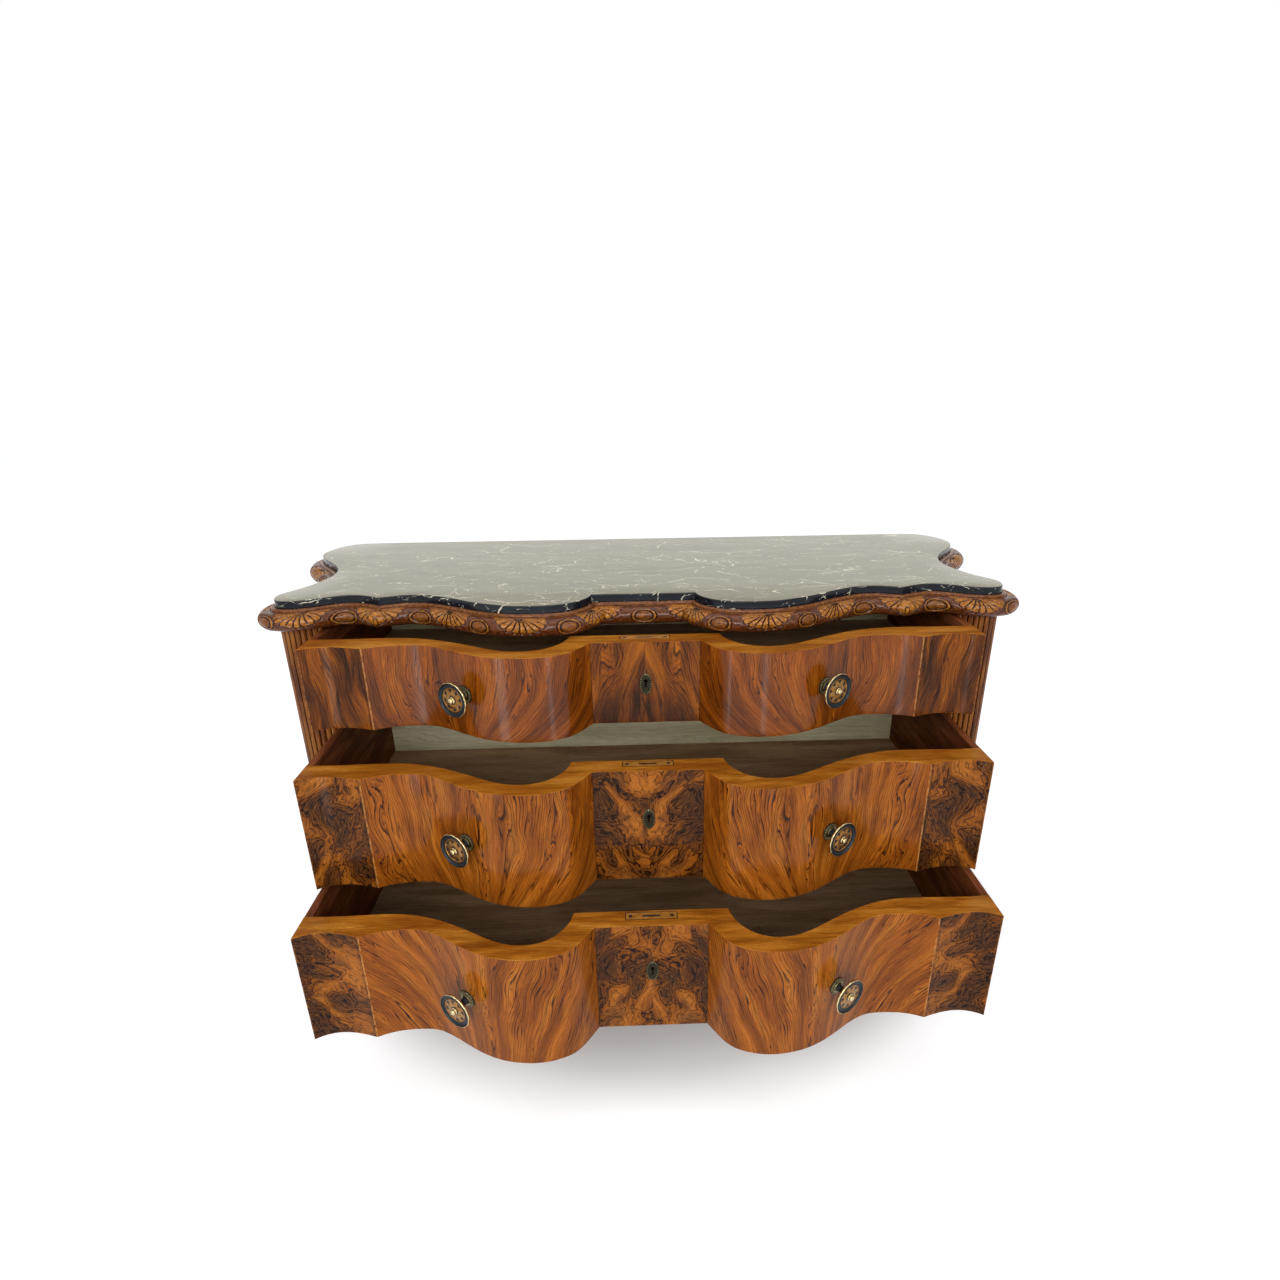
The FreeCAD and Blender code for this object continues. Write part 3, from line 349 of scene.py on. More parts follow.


# Materials, each named for what the real one is, or for the painted shade that it carries

woods = {
    # tones from dark to pale, the colour of the lines; line is their spacing in millimetres
    "bulge": {
        "tones": ["#783c0c", "#904c10", "#a15814", "#af6820"], "dark": "#1e0b03", "ridges": True,
        "line": 4.4, "wander": 13, "heart": 0.3, "force": 1.0, "roughness": 0.38, "gloss": 0.25},
    # the bulge's veneer again, painted darker as shade from the moulding over the upper drawer
    "upperBulge": {
        "tones": ["#602d07", "#7b3c0a", "#8e480c", "#a05814"], "dark": "#190903", "ridges": True,
        "line": 4.2, "wander": 12, "heart": 0.35, "force": 0.95, "roughness": 0.36, "gloss": 0.4},
    "streak": {
        "tones": ["#3d1e0c", "#64330c", "#7f420c", "#a15a14"], "dark": "#180a05", "ridges": True,
        "line": 4.4, "wander": 15, "heart": 0.8, "force": 0.9, "roughness": 0.38, "gloss": 0.22},
    "goldenEdge": {
        "tones": ["#86480e", "#9a5a14", "#ab691c", "#bb7b2c"], "dark": "#4f280a",
        "line": 3.4, "wander": 5, "heart": 0.3, "force": 0.55, "roughness": 0.45, "gloss": 0.12},
    # the reeded posts carry painted shade in the grooves between reeds
    "reededWalnut": {
        "tones": ["#542a0c", "#703c12", "#8a4f1a", "#a06426"], "dark": "#200c05", "hollows": 0.95,
        "line": 3.0, "wander": 6, "heart": 0.4, "force": 0.6, "roughness": 0.36, "gloss": 0.25},
    "caseWalnut": {
        "tones": ["#472110", "#65351b", "#794424", "#8a532e"], "dark": "#241009",
        "line": 4.0, "wander": 7, "heart": 0.6, "force": 0.7, "roughness": 0.38, "gloss": 0.3},
    "drawerLining": {
        "tones": ["#553a22", "#67482b", "#775433", "#85623d"], "dark": "#27150c",
        "line": 4.0, "wander": 6, "heart": 0.4, "force": 0.5, "roughness": 0.55, "gloss": 0.05},
    "drawerSide": {
        "tones": ["#552b16", "#6b381d", "#7d4425", "#8c5230"], "dark": "#2e150b",
        "line": 3.6, "wander": 5, "heart": 0.4, "force": 0.5, "roughness": 0.5, "gloss": 0.08},
    "drawerFloor": {
        "tones": ["#8c6c4c", "#9b7a58", "#a98765", "#b69472"], "dark": "#4a3727",
        "line": 6.0, "wander": 8, "heart": 0.3, "force": 0.4, "roughness": 0.5, "gloss": 0.1},
    "paleSoftwood": {
        "tones": ["#b9b08c", "#c6be9b", "#d2cba9", "#ddd7ba"], "dark": "#93896a",
        "line": 7.0, "wander": 6, "heart": 0.2, "force": 0.5, "roughness": 0.6, "gloss": 0.02},
    "agedPine": {
        "tones": ["#6e5a3e", "#7e6849", "#8d7654", "#9c8561"], "dark": "#46351f",
        "line": 7.0, "wander": 6, "heart": 0.2, "force": 0.6, "roughness": 0.6, "gloss": 0.02},
    "baseWalnut": {
        "tones": ["#452010", "#5f321a", "#744022", "#854e2c"], "dark": "#241009",
        "line": 4.0, "wander": 7, "heart": 0.6, "force": 0.7, "roughness": 0.38, "gloss": 0.3},
}
polish = {"Coat_Roughness": 0.14, "Coat_IOR": 1.45, "Specular_IOR_Level": 0.02}
# growth lines per metre towards X and Z, for lines 1 mm apart
linesAcross = (800, 0, 560)
rubbedEdges = [
    # place from the middle, width, tone, and the stops between which the mark breaks off
    # painted shade on the slope just past the ridge
    (chest["ridgeHalf"] + 3.2, 3.4, "#1d0d06", (0.42, 0.62)),
    # a rubbed pale line on the ridge, which also stands as the ridge's painted highlight
    (chest["ridgeHalf"], 1.5, "#b98045", (0.4, 0.54)),
    # the front's end rubbed pale
    (chest["frontHalf"], 1.7, "#a56c36", (0.44, 0.58)),
    # painted shade in the groove
    (chest["grooveHalf"], 0.9, "#2a140a", (0.3, 0.5)),
]


def wornRidges(add, colour):
    # the leaf's edge rubbed pale along the ridges and the ends of a front, the ridge line also standing as a
    # painted highlight, with painted shade just past the ridges and in the grooves
    x = fromMiddle(add)
    broken = blots(add, add("TexCoord", out="Object"), (5, 5, 9), 4, 0.7)
    for at, wide, tone, (off, on) in rubbedEdges:
        away = add("ABSOLUTE", add("SUBTRACT", x, at * mm))
        away = add("DIVIDE", away, wide * mm)
        near = add("ValToRGB", away, stops=[(0.45, 1.0), (1.0, 0.0)])
        kept = add("ValToRGB", broken, stops=[(off, 0.0), (on, 0.75)])
        colour = laidOver(add, colour, (add("MULTIPLY", near, kept), None, tone))
    return colour


def woodShader(add, place, look, bumpDepth):
    # grain runs along Y of the place: slow colour, wandering growth lines, heart smudges, fibres and pores
    line, dark = look["line"], look["dark"]

    def streaks(wide, long, *rest):
        # blots so many growth lines wide and long
        return blots(add, place, (line * wide, line * long, line * wide), *rest)

    direction = tuple(n / line for n in linesAcross)
    across = add("VectorMath", place, direction, out="Value", operation="DOT_PRODUCT")
    jitter = add("MULTIPLY_ADD", streaks(2.6, 34, 2, 0.5), 2.6, across)
    turns = add("MULTIPLY_ADD", streaks(13, 55, 2, 0.5, 0.5), look["wander"], jitter)
    ring = add("ValToRGB", add("FRACT", turns), stops=[
        (0.4, 0.0), (0.7, 0.3), (0.84, 1.0), (0.91, 1.0), (0.97, 0.0)])
    threefold = add("FRACT", add("MULTIPLY", turns, 3.0))
    fine = add("ValToRGB", threefold, stops=[(0.45, 0.0), (0.82, 0.65), (0.95, 0.0)])
    ring = add("MAXIMUM", ring, fine)
    force = add("ValToRGB", streaks(7, 40, 3, 0.6), stops=[(0.36, 0.4), (0.56, 1.0)])
    lined = add("MULTIPLY", add("MULTIPLY", ring, force), look["force"])
    heart = add("ValToRGB", streaks(3.4, 50, 5, 0.62, 0.3), stops=[(0.36, 1.0), (0.47, 0.0)])
    heart = add("MULTIPLY", heart, look["heart"])
    tones = list(zip((0.34, 0.46, 0.54, 0.66), look["tones"]))
    body = add("ValToRGB", streaks(6, 42, 4, 0.55, 0.3), stops=tones)
    fibre = blots(add, place, (0.9, 26, 0.9), 4, 0.65)
    colour = laidOver(
        add, body, (heart, None, dark), (lined, None, dark), (fibre, [(0.4, 0.34), (0.52, 0.0)], dark),
        (fibre, [(0.54, 0.0), (0.68, 0.3)], look["tones"][3]))
    # painted shade in the grooves between reeds
    if "hollows" in look:
        hollow = add("Attribute", attribute_name="hollow", out="Fac")
        colour = laidOver(add, colour, (hollow, [(0.3, 0.0), (0.85, look["hollows"])], dark))
    # rubbed edges, with the ridge's painted highlight and painted shade past the ridges and in the grooves
    if "ridges" in look:
        colour = wornRidges(add, colour)
    pore = add("ValToRGB", blots(add, place, (0.8, 9, 0.8), 2, 0.5), stops=[(0.32, 1.0), (0.4, 0.0)])
    colour = laidOver(add, colour, (add("MULTIPLY", pore, 0.4), None, dark))
    rough = add("MULTIPLY_ADD", fibre, 0.14, look["roughness"] - 0.07)
    relief = add("SUBTRACT", fibre, pore)
    finishMaterial(add, colour, rough, relief, bumpDepth, Coat_Weight=look["gloss"], **polish)


def leafVeneer(look):
    # sliced walnut, bent and French polished: stripes that follow the flow of the leaf, under a clear gloss
    material, add = newMaterial(look + "Veneer")
    woodShader(add, add("UVMap", uv_map="figure"), woods[look], 0.05)
    return material


def solidWood(look, turn=(0, 0, 0)):
    # solid timber, planed and waxed, on the piece's own coordinates; turn lays the grain along another axis
    material, add = newMaterial(look)
    turned = add("Mapping", {"Vector": add("TexCoord", out="Object"), "Rotation": turn})
    woodShader(add, turned, woods[look], 0.1)
    return material


def warpedPlace(add, place, size, reach, detail):
    # the place pushed about by noise of a size, as far as the reach, both in millimetres
    noise = add("TexNoise", {"Vector": place, "Scale": 1000 / size, "Detail": detail}, out="Color")
    centred = add("VectorMath", noise, (0.5, 0.5, 0.5), operation="SUBTRACT")
    shift = add("VectorMath", centred, {"Scale": reach * mm}, operation="SCALE")
    return add("VectorMath", place, shift, operation="ADD")


burl = {
    # two bends of the figure: size and reach in millimetres, and detail
    "flow": (90, 60, 1.5), "curl": (32, 12, 2),
    # sizes in millimetres
    "islands": (38, 90, 38), "clouds": (26, 70, 26), "jitter": (9, 26, 9), "fibre": (1.5, 13, 1.5),
    "linesPerMetre": 70, "wander": 15.0, "tones": ["#442612", "#623610", "#814611", "#a05e1e"],
    # distance from the middle in metres and how dark it is there, then where that shade holds
    "middleShade": ([(0.02, 0.0), (0.05, 0.35), (0.082, 1.0), (0.1, 0.6)], [(0.1, 1.0), (0.44, 0.0)]),
    "endShade": ([(0.45, 0.3), (0.47, 0.0), (0.52, 0.35), (0.55, 0.9)], [(0.44, 0.0), (0.45, 1.0)]),
}


def burlVeneer():
    # walnut burl under polish: orange islands edged by thin black lines, in a dark ground of contours
    material, add = newMaterial("burlVeneer")
    flowing = warpedPlace(add, add("UVMap", uv_map="figure"), *burl["flow"])
    curled = warpedPlace(add, flowing, *burl["curl"])
    lines = (burl["linesPerMetre"], 0, 0)
    across = add("VectorMath", curled, lines, out="Value", operation="DOT_PRODUCT")
    field = blots(add, curled, burl["islands"], 3, 0.45)
    # darker towards the groove beside the middle leaf and towards the outer end of each end leaf
    x = fromMiddle(add)
    shades = []
    for pair in (burl["middleShade"], burl["endShade"]):
        darker, held = (add("ValToRGB", x, stops=stops) for stops in pair)
        shades.append(add("MULTIPLY", darker, held))
    shade = add("MAXIMUM", *shades)
    lifted = add("ADD", field, 0.02)
    tone = add("MULTIPLY_ADD", shade, -0.09, lifted)
    body = add("ValToRGB", tone, stops=list(zip((0.36, 0.44, 0.52, 0.66), burl["tones"])))
    cloud = add("MULTIPLY_ADD", shade, -0.06, blots(add, flowing, burl["clouds"], 5, 0.6))
    jitter = add("MULTIPLY_ADD", blots(add, curled, burl["jitter"], 2, 0.5), 1.4, across)
    swirl = add("MULTIPLY_ADD", field, burl["wander"], jitter)
    contour = add("ValToRGB", add("FRACT", swirl), stops=[
        (0.55, 0.0), (0.76, 1.0), (0.88, 1.0), (0.95, 0.0)])
    threefold = add("FRACT", add("MULTIPLY", swirl, 3.0))
    hair = add("ValToRGB", threefold, stops=[(0.4, 0.0), (0.8, 0.45), (0.95, 0.0)])
    crowd = add("ValToRGB", tone, stops=[(0.42, 1.0), (0.5, 0.85), (0.62, 0.6)])
    outline = add("ValToRGB", tone, stops=[(0.474, 0.0), (0.484, 1.0), (0.494, 1.0), (0.504, 0.0)])
    crowded = add("MULTIPLY", add("MAXIMUM", contour, hair), crowd)
    ink = add("MAXIMUM", crowded, outline)
    fibre = blots(add, curled, burl["fibre"], 4, 0.6)
    colour = laidOver(
        add, body, (cloud, [(0.36, 0.55), (0.47, 0.0)], "#35221a"), (ink, None, "#120704"),
        (fibre, [(0.38, 0.3), (0.5, 0.0)], "#1c0d05"), (fibre, [(0.54, 0.0), (0.68, 0.25)], "#b87632"))
    # the same rubbed edges, with the ridge's painted highlight and painted shade past the ridges and in the
    # grooves
    finishMaterial(add, wornRidges(add, colour), 0.4, fibre, 0.05, Coat_Weight=0.16, **polish)
    return material


def carvedWalnut():
    # carved walnut under shellac: raised petals rubbed to gold, the cut hollows painted dark as shade
    material, add = newMaterial("carvedWalnut")
    hollow = add("Attribute", attribute_name="hollow", out="Fac")
    gilt = add("Attribute", attribute_name="gilt", out="Fac")
    grain = blots(add, add("TexCoord", out="Object"), (7, 3, 3), 6, 0.6, 0.5)
    base = add("ValToRGB", grain, stops=[(0.35, "#381a0b"), (0.5, "#552b12"), (0.65, "#703e1c")])
    petal = add("ValToRGB", grain, stops=[(0.35, "#6e3d0f"), (0.5, "#9a5c18"), (0.65, "#c0812f")])
    # painted shade: the deeper the cut, the nearer black
    colour = laidOver(add, base, (gilt, None, petal), (hollow, [(0.25, 0.0), (0.7, 0.96)], "#120704"))
    rough = add("MULTIPLY_ADD", hollow, 0.3, 0.24)
    finishMaterial(add, colour, rough, grain, 0.1, Coat_Weight=0.38, Coat_Roughness=0.08, Coat_IOR=1.5,
                   Specular_IOR_Level=0.05)
    return material


marble = {
    # size and reach of the drift in millimetres, and detail; sizes of the clouds and the dust
    "drift": (140, 90, 8), "clouds": (190, 40, 40), "dust": (60, 9, 9), "slant": 0.12,
    # veins: cells per metre along and across, half width in millimetres, how much of it shows, seed
    "veins": [(5, 13, 0.8, 0.5, 0.0), (9, 25, 0.6, 0.52, 3.1), (24, 52, 0.5, 0.56, 7.7)],
}


def blackMarble(name, milk, **shine):
    # polished black marble: hairline veins mostly along the slab; the second value is how much pale painted
    # reflection lies over it, and how much dust shows
    material, add = newMaterial(name)
    moved = warpedPlace(add, add("TexCoord", out="Object"), *marble["drift"])
    veins = 0.0
    for along, across, wide, gate, seed in marble["veins"]:
        drawn = add("Mapping", {"Vector": moved, "Location": (seed, seed, seed),
                                "Rotation": (0, 0, marble["slant"]), "Scale": (along, across, across)})
        cells = add("TexVoronoi", {"Vector": drawn, "Scale": 1.0}, feature="DISTANCE_TO_EDGE")
        edge = wide * mm * across
        crack = add("ValToRGB", cells, stops=[(0.0, 1.0), (edge * 0.5, 0.8), (edge, 0.0)])
        where = blots(add, moved, (900 / along, 300 / along, 300 / along), 5, 0.7)
        where = add("ValToRGB", where, stops=[(gate, 0.0), (gate + 0.06, 1.0)])
        veins = add("MAXIMUM", add("MULTIPLY", crack, where), veins)
    cloud = blots(add, moved, marble["clouds"], 6, 0.6, 0.3)
    ground = add("ValToRGB", cloud, stops=[(0.35, "#070b13"), (0.55, "#0d131c"), (0.7, "#1d2326")])
    # the pale tone of the painted reflection
    milky = add("ValToRGB", cloud, stops=[(0.35, "#66614a"), (0.6, "#7a755d")])
    dust = blots(add, moved, marble["dust"], 6, 0.75)
    colour = laidOver(
        add, ground, (milk, None, milky), (dust, [(0.6, 0.0), (0.72, 0.3 * milk)], "#8a8878"),
        (veins, None, "#e2dcc6"))
    finishMaterial(add, colour, 0.14, Coat_Roughness=0.06, Coat_IOR=1.5, IOR=1.45,
                   Coat_Tint=linear("#f2ecd4"), **shine)
    return material


def agedMetal(name, low, middle, high, dull, bright):
    # cast and lacquered metal, dark in its hollows and rubbed bright where hands reach
    material, add = newMaterial(name)
    worn = add("Attribute", attribute_name="worn", out="Fac")
    blot = blots(add, add("TexCoord", out="Object"), (3.0, 3.0, 3.0), 5, 0.65)
    share = add("MULTIPLY_ADD", blot, 0.6, add("SUBTRACT", worn, 0.3))
    colour = add("ValToRGB", share, stops=[(0.15, low), (0.5, middle), (0.9, high)])
    rough = add("ValToRGB", share, stops=[(0.2, dull), (0.9, bright)])
    finishMaterial(add, colour, rough, blot, 0.15, Metallic=1.0)
    return material


def plainMetal(name, low, high, roughness, metallic=1.0, under=None):
    # filed and oiled metal with fine lengthwise scratches; the last value, when given, is a dark tone painted
    # as shade on what doesn't face up
    material, add = newMaterial(name)
    place = add("TexCoord", out="Object")
    mark = blots(add, place, (0.6, 14, 0.6), 4, 0.6)
    colour = add("ValToRGB", blots(add, place, (11, 11, 11), 4, 0.6), stops=[(0.35, low), (0.65, high)])
    if under:
        up = add("SeparateXYZ", add("TexCoord", out="Normal"), out="Z")
        colour = laidOver(add, linear(under), (up, [(0.6, 0.0), (0.9, 1.0)], colour))
    rough = add("MULTIPLY_ADD", mark, 0.25, roughness - 0.1)
    finishMaterial(add, colour, rough, mark, 0.06, Metallic=metallic)
    return material


quarter = math.pi / 2
alongX = (0, 0, quarter)
upright = (quarter, 0, 0)
materials = {
    "bulge": leafVeneer("bulge"),
    "upperBulge": leafVeneer("upperBulge"),
    "burl": burlVeneer(),
    "streak": leafVeneer("streak"),
    "edge": solidWood("goldenEdge", alongX),
    "post": solidWood("reededWalnut", upright),
    "walnut": solidWood("caseWalnut", upright),
    "lining": solidWood("drawerLining"),
    "side": solidWood("drawerSide"),
    "floorBoard": solidWood("drawerFloor", alongX),
    "softwood": solidWood("paleSoftwood", alongX),
    "backBoards": solidWood("agedPine", upright),
    "base": solidWood("baseWalnut", alongX),
    "carved": carvedWalnut(),
    # the flat top carries a pale painted reflection of the bright room, the edge is left dark
    "marble": blackMarble("blackMarble", 0.9, Coat_Weight=0.4),
    "marbleEdge": blackMarble("blackMarbleEdge", 0.0, Coat_Weight=0.1, Specular_IOR_Level=0.25),
    "bronze": agedMetal("knobBronze", "#2b2f31", "#85561f", "#c2b184", 0.45, 0.22),
    "plate": agedMetal("escutcheonBronze", "#1c1b16", "#45402f", "#968a63", 0.5, 0.3),
    # a lock's plate is dull brass, painted dark as shade on every face that doesn't face up, and the bores
    # are painted near black as shade
    "lock": plainMetal("lockBrass", "#8e5c1c", "#b47c2e", 0.5, 0.4, under="#17120d"),
    "brass": plainMetal("nutBrass", "#8e5c1c", "#b47c2e", 0.5, 0.4),
    "iron": plainMetal("boltIron", "#3b3733", "#5c5650", 0.45),
    "bore": plainMetal("darkBore", "#0c0806", "#1a110b", 0.7, 0.0),
}
print("materials made:", len(materials))


# Carved top moulding and marble slab, swept round the case

sweep = {
    "step": 1.5, "middlePoints": 120, "rearPoints": 60,
    "torusReach": 16, "torusRadius": 14.5, "torusRows": 35, "flatRows": 7, "flatWide": 7.5, "quirk": 1.4,
    # the small round lip that holds the marble: its gap, foot, radius and top, and its turn in degrees
    "lipGap": 0.5, "lipFoot": 1.4, "beadRadius": 3.6, "lipTop": 2,
    "lipRows": 9, "lipStart": 150, "lipTurn": 22,
    "marbleRound": 1.5, "marbleRows": 5, "underBack": 1, "underRise": 0.8, "plainGilt": 0.2,
}
carving = {
    "sideHalf": 46, "sidePitch": 68, "sideEnd": 30, "shellDrop": 36, "shellTop": -6, "petals": 11,
    "scallop": 0.16, "gapDepth": 2.8, "petalDepth": 0.9, "leafTurn": 0.16,
    # where a cut's slope starts and ends: gaps and gilt in millimetres, the rest as shares of the motif
    "gapSlope": (0.25, 1.25), "giltSlope": (0.2, 1.1), "hollowSlope": (0.1, 0.5), "ringSlope": (1.0, 1.16),
    "rimOut": 0.03, "rimWide": 0.05, "rimShare": 0.8, "quirkSlope": (0.2, 1.4),
    # a drop, its groove and its own depth below the face
    "dropHalf": 3.4, "dropRise": 8.5, "dropDown": 25, "dropDepth": 1.8,
    "dropEnd": 0.8, "dropGroove": 1.25, "dropTop": 0.1,
    "ovalHalf": 23, "ovalRise": 14.5, "ovalDown": 21, "ringDepth": 2.6,
    # where the egg and the groove round it end, as shares of an oval, and how egg and ring are rounded
    "eggEnd": 0.7, "grooveEnd": 0.8, "eggSize": 0.78, "eggTop": 0.3, "eggRound": 1.7,
    "ringAt": 0.9, "ringHalf": 0.1, "ringTop": 0.2, "ringRound": 1.2, "eggGilt": 0.3, "ringGilt": 0.7,
    # place from the middle, half width and rise of each oval
    "ovals": [(0, 22, 14.5), (124, 20, 15.5), (269, 18.5, 16), (378, 22, 14.5), (508, 23, 14.5),
              (634, 22, 14.5)],
    # place, inner and outer reach of each shell
    "shells": [(81, 58, 34), (198, 46, 46), (324, 46, 46), (451, 46, 46), (576, 46, 46)],
}


def caseRuns():
    # right half of the marble's outline: middle, bulge, corner and side, rear
    groove, ridge = chest["grooveHalf"], chest["ridgeHalf"]
    side = chest["frontHalf"] + chest["postWidth"]
    post, notch, depth = chest["postDepth"], chest["notchDepth"], chest["caseDepth"]
    bulge = [(groove, 0)] + spread(marbleShares, (groove, ridge - groove), (0, -chest["topReach"]))
    corner = bulge[-1:] + spread(lobeShares, (ridge, side - ridge), (0, post))
    corner += spread(sideShares, (side, -chest["waistInset"]), (post, notch - post))
    rear = spread(rearShares, (side - chest["notchInset"], chest["rearSwell"]), (notch, depth - notch))
    count = sweep["middlePoints"]
    middle = np.column_stack([np.linspace(0, groove, count), np.zeros(count)])
    return [middle] + [smoothLine(run, 0.5) for run in (bulge, corner, rear)]


def movedRun(line, sideways, count, distance, startMitre, endMitre):
    # a run moved outwards and cut off at the mitres with its neighbours
    moved = line + sideways * distance
    for mitre, at in ((startMitre, 0), (endMitre, -1)):
        if mitre is None:
            continue
        point = line[at] + mitre * distance
        ahead = (moved - line[at]) @ np.array([-mitre[1], mitre[0]])
        if at == 0:
            first = int(np.argmax(ahead > 0))
            moved = np.concatenate([[point], moved[first:]])
        else:
            last = len(ahead) - int(np.argmax((ahead < 0)[::-1]))
            moved = np.concatenate([moved[:last], [point]])
    return evenly(moved, count)


def caseLoops(distances):
    # closed outlines at several distances, all with the same number of points
    runs = caseRuns()
    sides = [outward(run) for run in runs]
    sides[0][:] = (0, -1)
    mitres = [None]
    for before, after in zip(sides, sides[1:]):
        mitres.append((before[-1] + after[0]) / (1 + before[-1] @ after[0]))
    mitres.append(None)
    depth, rearPoints = chest["caseDepth"], sweep["rearPoints"]
    loops = []
    for distance in distances:
        half = []
        for i, run in enumerate(runs):
            count = int(lengths(run)[-1] / sweep["step"]) + 2
            part = movedRun(run, sides[i], count, distance, mitres[i], mitres[i + 1])
            half += list(part if i == 0 else part[1:])
        half = np.array(half)
        half[:, 1] = np.minimum(half[:, 1], depth)
        back = np.column_stack([np.linspace(half[-1, 0], 0, rearPoints), np.full(rearPoints, depth)])
        half = np.concatenate([half, back[1:]])
        left = half[1:-1][::-1] * np.array([-1, 1])
        loops.append(np.concatenate([half, left]))
    return np.array(loops), len(half)


sweepLevels = np.array([-4, -1.5, 0, 0.5, 4, 8, 12, 16, 20, 24, 28, 31], float)
sweepLoops, halfCount = caseLoops(sweepLevels)
# places along the carving are counted on the outline 24 mm out
carvedHalf = sweepLoops[list(sweepLevels).index(24), :halfCount]


def atDistance(distance):
    # the outline moved by one distance, or by one for each of its points
    distance = np.broadcast_to(distance, sweepLoops.shape[1])
    i = np.clip(np.searchsorted(sweepLevels, distance) - 1, 0, len(sweepLevels) - 2)
    u = ((distance - sweepLevels[i]) / (sweepLevels[i + 1] - sweepLevels[i]))[:, None]
    k = np.arange(sweepLoops.shape[1])
    return sweepLoops[i, k] * (1 - u) + sweepLoops[i + 1, k] * u


def inFrame(loop):
    # the nearest places on the opening inside the moulding
    x = np.clip(loop[:, 0], -chest["frameHalf"], chest["frameHalf"])
    y = np.clip(loop[:, 1], chest["frameFront"], chest["frameRear"])
    return np.column_stack([x, y])


def sweptPiece(name, columns):
    # loops of (x, y) with their heights, joined to a closed ring
    count = len(columns[0][0])
    vertices = []
    for loop, height in columns:
        z = np.broadcast_to(height, count)
        vertices.append(np.column_stack([loop[:, 0], loop[:, 1] + chest["frontPlane"], z]))
    return makeObject(name, np.concatenate(vertices), gridFaces(len(columns), count, ring=True))


def smoothStep(low, high, value):
    u = np.clip((value - low) / (high - low), 0, 1)
    return u * u * (3 - 2 * u)


def alongAt(along, x):
    # how far along the moulding the place is that lies x from the middle
    line = carvedHalf[:, 0]
    return along[int(np.argmax(line >= min(x, line.max() - 0.5)))]


def carvedShape(along, down):
    # how deep the carver went and where the petals are, for places along the moulding and down its face
    depth = np.zeros_like(down)
    gilt = np.zeros_like(down)
    deep = carving["gapDepth"]
    ovals = [(alongAt(along, x), half, rise) for x, half, rise in carving["ovals"]]
    shells = [(alongAt(along, x), inner, outer) for x, inner, outer in carving["shells"]]
    # past the last oval of the front they take turns along the side
    spot = ovals[-1][0] + carving["sidePitch"]
    isShell = True
    while spot < np.max(along) - carving["sideEnd"]:
        if isShell:
            shells.append((spot, carving["sideHalf"], carving["sideHalf"]))
        else:
            ovals.append((spot, carving["ovalHalf"], carving["ovalRise"]))
        isShell = not isShell
        spot += carving["sidePitch"]
    cusp = alongAt(along, chest["ridgeHalf"])
    for middle, inner, outer in shells:
        x, y = along - middle, down - carving["shellTop"]
        half = np.where(x < 0, inner, outer)
        size = np.hypot(x / half, y / carving["shellDrop"])
        turn = np.arctan2(x / half, np.maximum(y, 0) / carving["shellDrop"]) / math.pi + 0.5
        within = turn * carving["petals"]
        off = np.abs(within - np.floor(within) - 0.5) * 2
        reachOut = np.hypot(x, y)
        gap = (1 - off) / 2 * math.pi * reachOut / carving["petals"]
        if abs(middle - cusp) < 1:
            # one plain leaf in place of the middle petals
            across = np.abs(turn - 0.5) / carving["leafTurn"]
            leaf = across < 1
            off = np.where(leaf, across, off)
            gap = np.where(leaf, (1 - across) * carving["leafTurn"] * math.pi * reachOut, gap)
        tip = 1 - carving["scallop"] * off ** 2
        inside = (size < tip) & (y > 0)
        cut = (1 - smoothStep(*carving["gapSlope"], gap)) * deep
        hollowed = carving["petalDepth"] * (1 - off ** 2) * smoothStep(*carving["hollowSlope"], size)
        depth = np.where(inside, np.maximum(depth, np.maximum(cut, hollowed)), depth)
        gilt = np.where(inside, np.maximum(gilt, smoothStep(*carving["giltSlope"], gap)), gilt)
        fromRim = np.abs(size - tip - carving["rimOut"])
        rim = (1 - smoothStep(0.0, carving["rimWide"], fromRim)) * (y > 0)
        depth = np.maximum(depth, rim * deep * carving["rimShare"])
    for middle, half, rise in ovals:
        # an egg, a groove, and a ring round it
        size = np.hypot((along - middle) / half, (down - carving["ovalDown"]) / rise)
        dome = np.sqrt(np.clip(1 - (size / carving["eggSize"]) ** 2, 0, 1))
        egg = carving["eggTop"] + carving["eggRound"] * (1 - dome)
        off = np.clip(np.abs(size - carving["ringAt"]) / carving["ringHalf"], 0, 1)
        ring = carving["ringTop"] + carving["ringRound"] * off ** 2
        isEgg = size < carving["eggEnd"]
        shape = np.where(isEgg, egg, np.where(size < carving["grooveEnd"], carving["ringDepth"], ring))
        outside = (1 - smoothStep(*carving["ringSlope"], size)) * carving["ringDepth"]
        depth = np.where(size < 1, shape, np.maximum(depth, outside))
        gilt = np.where(size < 1, np.where(isEgg, carving["eggGilt"], carving["ringGilt"]), gilt)
    # the drop that hangs on the leaf at each cusp
    drop = np.hypot((along - cusp) / carving["dropHalf"], (down - carving["dropDown"]) / carving["dropRise"])
    isDrop = drop < carving["dropEnd"]
    depth = np.where(drop < carving["dropGroove"], carving["dropDepth"], depth)
    depth = np.where(isDrop, carving["dropTop"], depth)
    gilt = np.where(isDrop, 1.0, gilt)
    # the groove behind the carving
    quirk = (1 - smoothStep(*carving["quirkSlope"], down + sweep["flatWide"])) * sweep["quirk"]
    return np.maximum(depth, quirk), gilt


